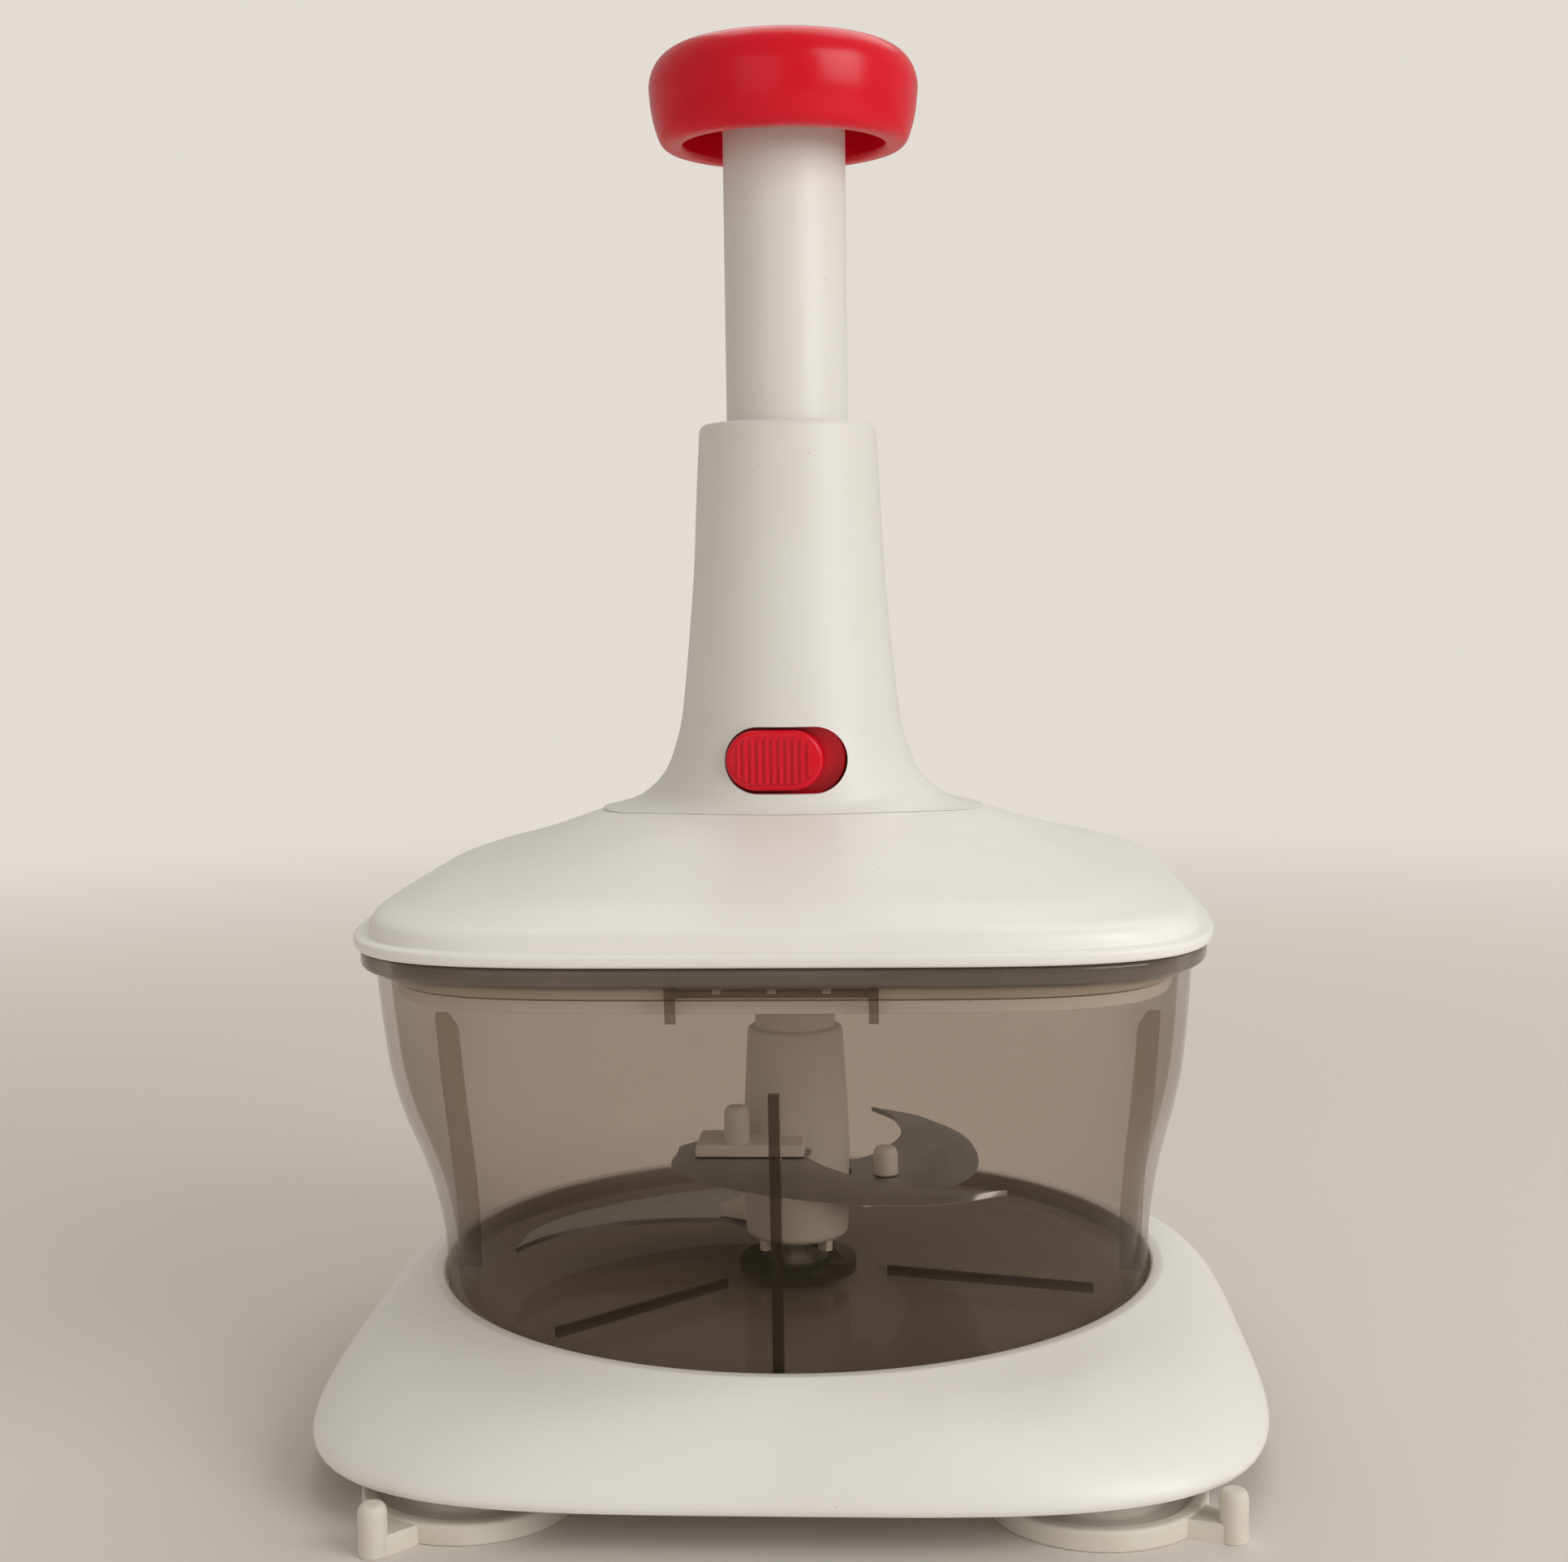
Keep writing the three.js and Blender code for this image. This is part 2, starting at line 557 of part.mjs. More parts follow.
// The sickle outline in shares of the reach: along the cutting edge to the pointed tip, back
// along the spine, and the corner of its root.
const cuttingEdgeShares = [
  [-0.42, -0.16], [-0.43, -0.34], [-0.36, -0.51], [-0.21, -0.66], [0.03, -0.79], [0.27, -0.86],
  [0.52, -0.85], [0.745, -0.733],
];
const spineShares = [[0.57, -0.735], [0.39, -0.67], [0.24, -0.57], [0.1, -0.4], [0.04, -0.27]];
const rootShares = [-0.26, 0.05];

function bladeOutline() {
  const point = ([x, y]) => new THREE.Vector2(x * blade.reach, y * blade.reach);
  const [start, ...edge] = cuttingEdgeShares.map(point);
  const root = point(rootShares);
  const shape = new THREE.Shape();
  shape.moveTo(start.x, start.y);
  shape.splineThru(edge);
  shape.splineThru(spineShares.map(point));
  shape.lineTo(0, -shaft.waistRadius / 2);
  shape.lineTo(-shaft.waistRadius / 2, 0);
  shape.lineTo(root.x, root.y);
  shape.closePath();
  return shape;
}

function makeBlades() {
  bladeNames.forEach((name, index) => {
    const z = bladeZ(index);
    const sheet = solid(plate(bladeOutline(), z, z + blade.thickness, 2));
    const tools = [
      rod(shaft.waistRadius + seatGap, z - overrun, z + overrun, 0, 0, roundSides),
      rod(arm.rivetRadius + screwGap, z - overrun, z + overrun, arm.pegX, arm.pegY, holeSides),
    ];
    addPiece(`blade_${name}`, cut(sheet, tools.map(solid)).rotate([0, 0, bladeTurn(index)]), steel);
  });
}

// Lid

// Dome levels from the flange up: shares of the dome's height, of its half width, of the way
// from round to square, and of the way to the tower's oval foot.
const domeLevelShares = [
  [0, 1, 1, 0], [0.12, 0.995, 1, 0], [0.2, 0.978, 0.95, 0], [0.28, 0.93, 0.85, 0.02],
  [0.38, 0.87, 0.72, 0.06], [0.49, 0.79, 0.55, 0.15], [0.65, 0.68, 0.38, 0.35],
  [0.82, 0.575, 0.2, 0.65], [0.94, 0.5, 0.06, 0.9], [1, 0.43, 0, 1],
];
const innerDomeSteps = [3, 5, 6, 7, 9];

function domeLevels(inset) {
  const ovalShare = tower.footY / tower.footX;
  return domeLevelShares.map(([up, out, square, oval]) => {
    const half = domeHalf * out - inset;
    const z = mix(flangeTopZ, domeTopZ, up) - inset;
    return [half, z, mix(circle, lid.squareness, square), half * mix(1, ovalShare, oval)];
  });
}

function domeOutside(inset, low) {
  const levels = domeLevels(inset);
  const top = levels[levels.length - 1][1];
  return solid(loft([[0, low, circle], [levels[0][0], low, lid.squareness], ...levels, [0, top, circle]]));
}

function domeInside(inset) {
  const levels = domeLevels(inset);
  const kept = innerDomeSteps.map((step) => levels[step]);
  const top = kept[kept.length - 1][1];
  const openHalf = domeHalf - lid.rimWall;
  const low = lidLowZ - overrun;
  return solid(loft([
    [0, low, circle], [openHalf, low, lid.squareness], [openHalf, flangeTopZ, lid.squareness],
    ...kept, [0, top, circle],
  ]));
}

function lidFlange() {
  const edge = lid.flangeHeight / 3;
  return solid(loft([
    [0, lidLowZ], [lidHalf, lidLowZ], [lidHalf, flangeTopZ - edge], [lidHalf - edge, flangeTopZ],
    [0, flangeTopZ],
  ].map(([half, z]) => [half, z, lid.squareness])));
}

function coverScrewPlaces() {
  return [[-1, -1], [1, -1], [1, 1], [-1, 1]].map(([sx, sy]) => [sx * bossAcross, sy * bossAcross]);
}

function towerScrewPlaces() {
  return [90, 210, 330].map((turn) => [
    tower.bossCircle * Math.cos(turn * degree), tower.bossCircle * Math.sin(turn * degree),
  ]);
}

const screwHole = (low, high, x, y) => solid(rod(screw.radius + screwGap, low, high, x, y, holeSides));

function makeLidCover() {
  const core = domeOutside(lid.wall / 2, lidLowZ - overrun);
  const bosses = coverScrewPlaces().map(([x, y]) => solid(rod(lid.bossRadius, lidLowZ, domeTopZ, x, y)));
  const pilots = coverScrewPlaces().map(([x, y]) => screwHole(lidLowZ, lidLowZ + screw.bite, x, y));
  const hole = solid(rod(lid.holeRadius, lidLowZ, domeTopZ + overrun, 0, 0, roundSides));
  const screwHoles = towerScrewPlaces().map(([x, y]) => screwHole(lidLowZ, domeTopZ + overrun, x, y));
  const shell = domeOutside(0, lidLowZ).add(lidFlange()).subtract(domeInside(lid.wall));
  const body = shell.add(join(bosses).intersect(core));
  addPiece('lid_cover', cut(body, [hole, ...pilots, ...screwHoles]), white);
}

// The inner cover: a plate with a grooved skirt that holds the seal, and the spindle's bearing.
function makeInnerCover() {
  const lowZ = innerTopZ - inner.skirtHeight;
  const grooveZ = lowZ + seal.rise - seatGap;
  const grooveTopZ = grooveZ + seal.height + 2 * seatGap;
  const skirt = solid(loft([
    [0, lowZ], [skirtHalf + inner.lip, lowZ], [skirtHalf + inner.lip, grooveZ], [skirtHalf, grooveZ],
    [skirtHalf, grooveTopZ], [skirtHalf + inner.lip, grooveTopZ], [skirtHalf + inner.lip, innerTopZ],
    [0, innerTopZ],
  ].map(([half, z]) => [half, z, lid.squareness])));
  const hollow = squareBlock(skirtHalf - inner.skirtWall, lowZ - overrun, innerPlateZ);
  const boss = solid(rod(inner.hubRadius, innerHubZ, innerTopZ, 0, 0, roundSides));
  const boreRadius = spindle.journalRadius + runningGap;
  const bore = solid(rod(boreRadius, innerHubZ - overrun, lidLowZ, 0, 0, roundSides));
  const holes = coverScrewPlaces().map(([x, y]) => screwHole(lowZ, lidLowZ, x, y));
  addPiece('lid_inner_cover', cut(skirt.subtract(hollow).add(boss), [bore, ...holes]), white);
}

function makeSeal() {
  const near = skirtHalf + seatGap;
  const lowZ = innerTopZ - inner.skirtHeight + seal.rise;
  const highZ = lowZ + seal.height;
  addPiece('lid_seal', loft([
    [near, lowZ], [sealHalf - seal.lip, lowZ], [sealHalf, mix(lowZ, highZ, 1 / 2)],
    [sealHalf - seal.lip, highZ], [near, highZ], [near, lowZ],
  ].map(([half, z]) => [half, z, lid.squareness])), rubber);
}

// A screw whose head is at the bottom and whose shank points up.
function screwGeometry(headTop, tip, x, y) {
  return revolve([
    [0, headTop - screw.headHeight], [screw.headRadius, headTop - screw.headHeight],
    [screw.headRadius, headTop], [screw.radius, headTop], [screw.radius, tip - screw.radius],
    [0, tip],
  ], holeSides).translate(x, y, 0);
}

function makeScrews() {
  coverScrewPlaces().forEach(([x, y], index) => {
    const body = screwGeometry(innerPlateZ - seatGap, lidLowZ + screw.bite - seatGap, x, y);
    addPiece(`inner_cover_screw_${index + 1}`, body, steel);
  });
  const [headTop, tip] = [domeTopZ - lid.wall - seatGap, towerLowZ + screw.bite];
  towerScrewPlaces().forEach(([x, y], index) => {
    addPiece(`tower_screw_${index + 1}`, screwGeometry(headTop, tip, x, y), steel);
  });
}

// Tower

// Tower levels from the top down to the waist: shares of the way down and of the way out.
const towerShaftShares = [[0.2, 0.16], [0.5, 0.36], [0.78, 0.68], [1, 1]];
// Foot levels from the waist down: shares of the way down, of the way out and of the way to oval.
const towerFootShares = [
  [0.37, 0.1, 0], [0.6, 0.2, 0.2], [0.75, 0.32, 0.6], [0.88, 0.48, 1], [0.95, 0.64, 1], [0.99, 0.8, 1],
  [1.03, 1, 1],
];

function towerSkin(inset, low, high) {
  const levels = towerShaftShares.map(([down, out]) => [
    mix(tower.topRadius, tower.waistRadius, out) - inset, mix(towerTopZ, waistZ, down), circle,
  ]);
  for (const [down, out, oval] of towerFootShares) {
    const halfX = mix(tower.waistRadius, tower.footX, out) - inset;
    const halfY = mix(tower.waistRadius, tower.footY, out) - inset;
    levels.push([halfX, mix(waistZ, towerLowZ, down), circle, mix(halfX, halfY, oval)]);
  }
  const [footX, , , footY] = levels[levels.length - 1];
  const fillet = inset > 0 ? 0 : tower.topFillet;
  const top = [[0, high, circle], [tower.topRadius - inset - fillet, high, circle]];
  const edge = fillet > 0 ? [[tower.topRadius, high - fillet, circle]] : [];
  const below = levels.filter(([, z]) => z < high);
  return solid(loft([...top, ...edge, ...below, [footX, low, circle, footY], [0, low, circle]], roundSides));
}

function makeTower() {
  const lowZ = towerLowZ - tower.footDrop;
  const shell = towerSkin(0, lowZ, towerTopZ).subtract(towerSkin(tower.wall, lowZ - overrun, guideZ));
  const core = towerSkin(tower.wall / 2, lowZ - overrun, towerTopZ);
  const bosses = towerScrewPlaces().map(([x, y]) => (
    solid(rod(tower.bossRadius, lowZ, towerLowZ + tower.bossHeight, x, y))));
  const pilots = towerScrewPlaces().map(([x, y]) => screwHole(lowZ, towerLowZ + screw.bite + seatGap, x, y));
  const front = -lock.plateY + lock.plateThickness;
  const tools = [
    rod(tube.radius + runningGap, lowZ, towerTopZ + overrun, 0, 0, roundSides),
    rod(flangeRadius + runningGap, lowZ - overrun, guideZ, 0, 0, roundSides),
    facePlate(stadium(lock.width, lock.height), 0, lockZ, lock.plateY, -tower.footX),
    facePlate(stadium(lock.plateWidth + 2 * runningGap, lock.plateHeight + 2 * runningGap), 0, lockZ,
      lock.plateY + runningGap, -front - seatGap),
  ];
  const body = shell.add(join(bosses).intersect(core));
  const lidShape = domeOutside(-seatGap, lidLowZ);
  addPiece('tower_housing', cut(body, [...tools.map(solid), ...pilots, lidShape]), white);
}

// The lock: a ridged pad on a backing plate, whose tongue slides over the plunger's flange when
// the knob is all the way down.
function makeLock() {
  const front = lock.plateY - lock.plateThickness;
  const padFront = -tower.waistRadius - lock.padProud;
  const padX = -(lock.width - lock.padWidth) / 2 + runningGap;
  const tongueZ = tubeFlangeZ + tube.flangeHeight - stroke + lock.tongueGap;
  const pitch = (lock.padWidth - lock.padHeight / 2) / lock.ridges;
  const grooves = [];
  for (let i = 0; i <= lock.ridges; i++) {
    const x = padX + (i - lock.ridges / 2) * pitch;
    grooves.push(solid(block(x - pitch / 4, x + pitch / 4, padFront - overrun, padFront + lock.ridgeDepth,
      lockZ - lock.padHeight / 2 + lock.ridgeMargin, lockZ + lock.padHeight / 2 - lock.ridgeMargin)));
  }
  const backing = facePlate(
    stadium(lock.plateWidth - lock.travel, lock.plateHeight), -lock.travel / 2, lockZ, lock.plateY, front);
  const pad = facePlate(stadium(lock.padWidth, lock.padHeight), padX, lockZ, front, padFront);
  const tongue = block(lock.tongueX - lock.tongueWidth / 2, lock.tongueX + lock.tongueWidth / 2,
    lock.plateY - lock.plateThickness / 2, lock.plateY + lock.tongueReach,
    tongueZ, tongueZ + lock.tongueHeight);
  addPiece('lock_slider', join([solid(backing), cut(solid(pad), grooves), solid(tongue)]), red);
}

// Plunger

function makeTube() {
  const [r, bore, hole] = [tube.radius, tube.radius - tube.wall, screw.radius + screwGap];
  const flangeTop = tubeFlangeZ + tube.flangeHeight;
  addPiece('plunger_tube', revolve([
    [bore, tubeLowZ], [r, tubeLowZ], [r, tubeFlangeZ], [flangeRadius, tubeFlangeZ],
    [flangeRadius, flangeTop], [r, flangeTop], [r, tubeTopZ], [hole, tubeTopZ],
    [hole, tubeTopZ - tube.topWall], [bore, tubeTopZ - tube.topWall], [bore, tubeLowZ],
  ]), white);
}

const knobBeltShare = 0.2;
const knobSideShare = 0.75;

// The knob's outside from its lip over the belt and the rounded shoulder to the crown.
function knobOutside() {
  const top = lipZ + knob.height;
  const lipRadius = knob.radius - knob.draft;
  const beltZ = top - knob.shoulder * (1 + knobBeltShare);
  const rimZ = top - knob.crown;
  const steps = 5;
  const outside = [
    [lipRadius, lipZ + knob.lipRounding],
    [mix(lipRadius, knob.radius, knobSideShare), mix(lipZ, beltZ, 1 / 2)],
  ];
  for (let i = 0; i <= steps; i++) {
    const angle = (i / steps) * 90 * degree;
    outside.push([
      knob.radius - knob.shoulder * (1 - Math.cos(angle)), mix(beltZ, rimZ, Math.sin(angle)),
    ]);
  }
  return [...outside, [knob.radius / 2, top - knob.crown / 4], [0, top]];
}

function makeKnob() {
  const lipRadius = knob.radius - knob.draft;
  const recess = lipRadius - knob.lipWall;
  const socketInner = tube.radius + seatGap;
  const socketOuter = socketInner + knob.socketWall;
  const [hole, holeTop] = [screw.radius + screwGap, knobCeilingZ + screw.bite];
  const socketLow = knobCeilingZ - knob.socketDepth;
  addPiece('push_knob', revolve([
    [0, holeTop], [hole, holeTop], [hole, knobCeilingZ], [socketInner, knobCeilingZ],
    [socketInner, socketLow], [socketOuter, socketLow], [socketOuter, knobCeilingZ - knob.lipRounding],
    [recess, knobCeilingZ - knob.lipRounding], [recess, lipZ + knob.lipRounding / 2],
    [recess + knob.lipRounding / 2, lipZ], [lipRadius - knob.lipRounding, lipZ], ...knobOutside(),
  ]), red);
}

function makeKnobScrew() {
  const headTop = tubeTopZ - tube.topWall - seatGap;
  addPiece('knob_screw', screwGeometry(headTop, knobCeilingZ + screw.bite - seatGap, 0, 0), steel);
}

// Drive

// The spiral turns clockwise, seen from above, as it rises, so a press turns the blades that way.
const twistRate = -turns * 360 * degree / stroke;

// A lobed section drawn out along Z and wound at the drive's pitch. The angle at any height is
// the same for the spindle and for the nut's bore.
function spiral(grow, low, high, steps) {
  const shape = new THREE.Shape();
  const points = spindle.lobes * 4;
  for (let i = 0; i < points; i++) {
    const angle = (i / points) * 360 * degree;
    const swell = (1 + Math.cos(spindle.lobes * angle)) / 2;
    const radius = mix(spindle.waistRadius, spindle.lobeRadius, swell) + grow;
    const [x, y] = [radius * Math.cos(angle), radius * Math.sin(angle)];
    if (i === 0) shape.moveTo(x, y);
    else shape.lineTo(x, y);
  }
  shape.closePath();
  const geometry = new THREE.ExtrudeGeometry(shape, { depth: high - low, bevelEnabled: false, steps });
  const position = geometry.attributes.position;
  for (let i = 0; i < position.count; i++) {
    const z = position.getZ(i) + low;
    const [cos, sin] = [Math.cos(z * twistRate), Math.sin(z * twistRate)];
    const [x, y] = [position.getX(i), position.getY(i)];
    position.setXYZ(i, x * cos - y * sin, x * sin + y * cos, z);
  }
  return solid(geometry);
}

function makeSpindle() {
  const footZ = hubTopZ - spindle.footLength;
  const journalZ = hubTopZ + seatGap;
  const peg = rod(spindle.pegRadius, spiralTopZ - overrun, spiralTopZ + springSeat.height);
  const lower = revolve([
    [0, footZ], [spindle.footRadius, footZ], [spindle.footRadius, journalZ],
    [spindle.journalRadius, journalZ],
    [spindle.journalRadius, collarZ], [spindle.collarRadius, collarZ], [spindle.collarRadius, collarTopZ],
    [0, collarTopZ],
  ]);
  const wormSteps = 30;
  const worm = spiral(0, collarZ, spiralTopZ, wormSteps);
  addPiece('spiral_spindle', join([solid(lower), worm, solid(peg)]), steel);
}

function makeNut() {
  const high = tubeLowZ + nut.height;
  const boreSteps = 12;
  const body = solid(rod(tube.radius - tube.wall - seatGap, tubeLowZ, high, 0, 0, roundSides));
  const bore = spiral(nut.boreGap, tubeLowZ - overrun, high + overrun, boreSteps);
  addPiece('drive_nut', body.subtract(bore), nylon);
}

function makeSpringSeat() {
  const low = spiralTopZ + seatGap;
  const high = spiralTopZ + springSeat.height;
  const step = high - springSeat.height / 2;
  const hole = spindle.pegRadius + seatGap;
  const locator = spring.coilRadius - spring.wire;
  addPiece('spring_seat', revolve([
    [hole, low], [springSeat.radius, low], [springSeat.radius, step], [locator, step], [locator, high],
    [hole, high], [hole, low],
  ], smallSides * 2), nylon);
}

const closedRiseShare = 1.4;

// The return spring: one unbroken helical tube whose end curls lie close against their seats.
function makeSpring() {
  const wire = spring.wire / 2;
  const low = spiralTopZ + springSeat.height / 2 + seatGap + wire;
  const high = tubeTopZ - tube.topWall - seatGap - wire;
  const [stepsPerCurl, sides, closedCurls] = [8, 5, 1];
  const rings = spring.curls * stepsPerCurl;
  const openCurls = spring.curls - 2 * closedCurls;
  const closedRise = spring.wire * closedRiseShare;
  const openRise = (high - low - 2 * closedRise * closedCurls) / openCurls;
  const positions = [];
  const index = [];
  for (let i = 0; i <= rings; i++) {
    const curl = i / stepsPerCurl;
    const angle = curl * 360 * degree;
    const open = Math.min(Math.max(curl - closedCurls, 0), openCurls);
    const z = low + (curl - open) * closedRise + open * openRise;
    for (let j = 0; j < sides; j++) {
      const around = (j / sides) * 360 * degree;
      const radius = spring.coilRadius + wire * Math.cos(around);
      positions.push(radius * Math.cos(angle), radius * Math.sin(angle), z + wire * Math.sin(around));
      if (i < rings) {
        const [a, b] = [i * sides + j, i * sides + (j + 1) % sides];
        index.push(a, a + sides, b, b, a + sides, b + sides);
      }
    }
  }
  const end = rings * sides;
  for (let j = 1; j < sides - 1; j++) index.push(0, j, j + 1, end, end + j + 1, end + j);
  const geometry = new THREE.BufferGeometry();
  geometry.setAttribute('position', new THREE.Float32BufferAttribute(positions, 3));
  geometry.setIndex(index);
  const leastGap = springGap(positions, sides, stepsPerCurl);
  console.log(`return spring: least gap between curls ${leastGap.toFixed(2)} mm`);
  addPiece('return_spring', geometry, steel);
}

// The least distance between wire points about one curl apart.
function springGap(positions, sides, stepsPerCurl) {
  const at = (i) => new THREE.Vector3().fromArray(positions, i * 3);
  const count = positions.length / 3;
  let least = Infinity;
  for (let i = 0; i < count; i++) {
    const last = Math.min(count, i + (stepsPerCurl + 2) * sides);
    for (let j = i + (stepsPerCurl - 2) * sides; j < last; j++) {
      least = Math.min(least, at(i).distanceTo(at(j)));
    }
  }
  return least;
}

// The hexagonal driver under the inner cover, pressed on the spindle's foot.
function makeHub() {
  const driver = solid(prism(hub.acrossFlats, 6, hubLowZ, hubTopZ));
  const head = solid(rod(hub.headRadius, hubTopZ - hub.headHeight, hubTopZ, 0, 0, roundSides));
  const footZ = hubTopZ - spindle.footLength;
  const bore = rod(spindle.footRadius + screwGap, footZ - seatGap, hubTopZ + overrun, 0, 0, roundSides);
  addPiece('drive_hub', driver.add(head).subtract(solid(bore)), nylon);
}

makeBase();
makeCups();
makeBowl();
makePin();
makeShaft();
makeBlades();
makeLidCover();
makeInnerCover();
makeSeal();
makeScrews();
makeTower();
makeLock();
makeTube();
makeKnob();
makeKnobScrew();
makeSpindle();
makeNut();
makeSpringSeat();
makeSpring();
makeHub();

export default chopper;
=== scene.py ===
"""Dresses the hand press food chopper: smooth moulded skins, finishes, light and the camera."""

import logging
import math
from dataclasses import dataclass, field
from enum import Enum
from typing import Callable, Iterable, Sequence

import bmesh
import bpy
from mathutils import Matrix, Vector


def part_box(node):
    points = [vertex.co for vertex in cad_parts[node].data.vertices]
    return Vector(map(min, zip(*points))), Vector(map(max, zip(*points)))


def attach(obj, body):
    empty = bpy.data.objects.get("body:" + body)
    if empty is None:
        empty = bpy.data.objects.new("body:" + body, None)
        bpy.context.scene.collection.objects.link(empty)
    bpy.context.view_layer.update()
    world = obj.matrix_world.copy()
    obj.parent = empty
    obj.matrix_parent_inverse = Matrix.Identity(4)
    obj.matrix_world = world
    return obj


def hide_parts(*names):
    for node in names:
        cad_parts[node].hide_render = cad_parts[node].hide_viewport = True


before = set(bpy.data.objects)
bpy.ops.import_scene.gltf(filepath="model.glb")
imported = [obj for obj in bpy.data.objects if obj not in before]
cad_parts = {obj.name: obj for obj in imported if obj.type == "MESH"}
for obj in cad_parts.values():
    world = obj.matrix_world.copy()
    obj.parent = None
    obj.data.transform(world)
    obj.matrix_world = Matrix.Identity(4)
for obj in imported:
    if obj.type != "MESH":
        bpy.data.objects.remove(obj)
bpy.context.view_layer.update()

MM = 0.001
CIRCLE = 2.0
QUARTERS = (0, 90, 180, 270)
BOWL_FOOT = 70.8
LARGE_SIDES, TUBE_SIDES, SMALL_SIDES = 160, 96, 32
MOST_ROUNDING = 0.48
ON_AXIS = 1e-6
WELD = 1e-7
SHARP_ANGLE = math.radians(38)

Point = tuple[float, ...]
Color = tuple[float, float, float]

log = logging.getLogger("chopper")


def srgb(red: int, green: int, blue: int) -> Color:
    """Turns a display colour into the linear colour that shaders use."""
    return tuple(((c / 255 + 0.055) / 1.055) ** 2.4 if c > 10 else c / 255 / 12.92
                 for c in (red, green, blue))


def mix(start: float, end: float, share: float) -> float:
    """Gives the value at a share of the way between two values."""
    return start + (end - start) * share


class Axis(Enum):
    """The directions of the frame."""

    X = 0
    Y = 1
    Z = 2


def extent(node: str, axis: Axis) -> tuple[float, float]:
    """Reads where a CAD node begins and ends along an axis, in millimetres."""
    low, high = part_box(node)
    return low[axis.value] / MM, high[axis.value] / MM


# Outlines, skins and pieces


def level(half: float, z: float, square: float = CIRCLE) -> Point:
    """Gives one ring of a loft that is as deep as it is wide."""
    return (half, z, square, half)


def between(a: Point, b: Point, share: float) -> Point:
    """Gives the point at a share of the way between two points."""
    return tuple(mix(p, q, share) for p, q in zip(a, b))


def flow(points: Sequence[Point], steps: int = 5) -> list[Point]:
    """Draws a smooth curve through points.

    Args:
        points: the points, each of the same number of values.
        steps: how many pieces each stretch is cut into.

    Returns:
        The points of the curve, the first and last given ones included.
    """
    curve: list[Point] = []
    last = len(points) - 1
    for i in range(last):
        near = points[max(i - 1, 0)], points[i], points[i + 1], points[min(i + 2, last)]
        for t in (step / steps for step in range(steps)):
            curve.append(tuple(
                0.5 * (2 * q + (r - p) * t + (2 * p - 5 * q + 4 * r - s) * t * t
                       + (3 * q - p - 3 * r + s) * t ** 3)
                for p, q, r, s in zip(*near)))
    return curve + [tuple(points[last])]


def rounded(corners: Sequence[Point], steps: int = 4, closed: bool = False) -> list[Point]:
    """Rounds the corners of an outline.

    Args:
        corners: each corner's place, and after it how far its rounding goes along each side.
        steps: how many pieces each rounding is cut into.
        closed: whether the outline returns to its start.

    Returns:
        The points of the rounded outline.
    """
    outline: list[Point] = []
    count = len(corners)
    for i, (*corner, radius) in enumerate(corners):
        if radius <= 0 or not (closed or 0 < i < count - 1):
            outline.append(tuple(corner))
            continue
        ends = []
        for side in (corners[i - 1][:-1], corners[(i + 1) % count][:-1]):
            length = math.dist(side[:2], corner[:2])
            share = min(radius / length, MOST_ROUNDING) if length else 0.0
            ends.append(between(corner, side, share))
        for t in (step / steps for step in range(steps + 1)):
            outline.append(between(between(ends[0], corner, t), between(corner, ends[1], t), t))
    return outline


def stadium(width: float, height: float, steps: int = 24) -> list[Point]:
    """Gives an outline with round ends.

    Args:
        width: its whole width.
        height: its whole height, which is twice the radius of its ends.
        steps: how many facets each end has.

    Returns:
        The points of the outline, centred on the origin.
    """
    radius = height / 2
    side = width / 2 - radius
    outline = []
    for centre, start in ((side, -90.0), (-side, 90.0)):
        for i in range(steps + 1):
            angle = math.radians(start + 180 * i / steps)
            outline.append((centre + radius * math.cos(angle), radius * math.sin(angle)))
    return outline


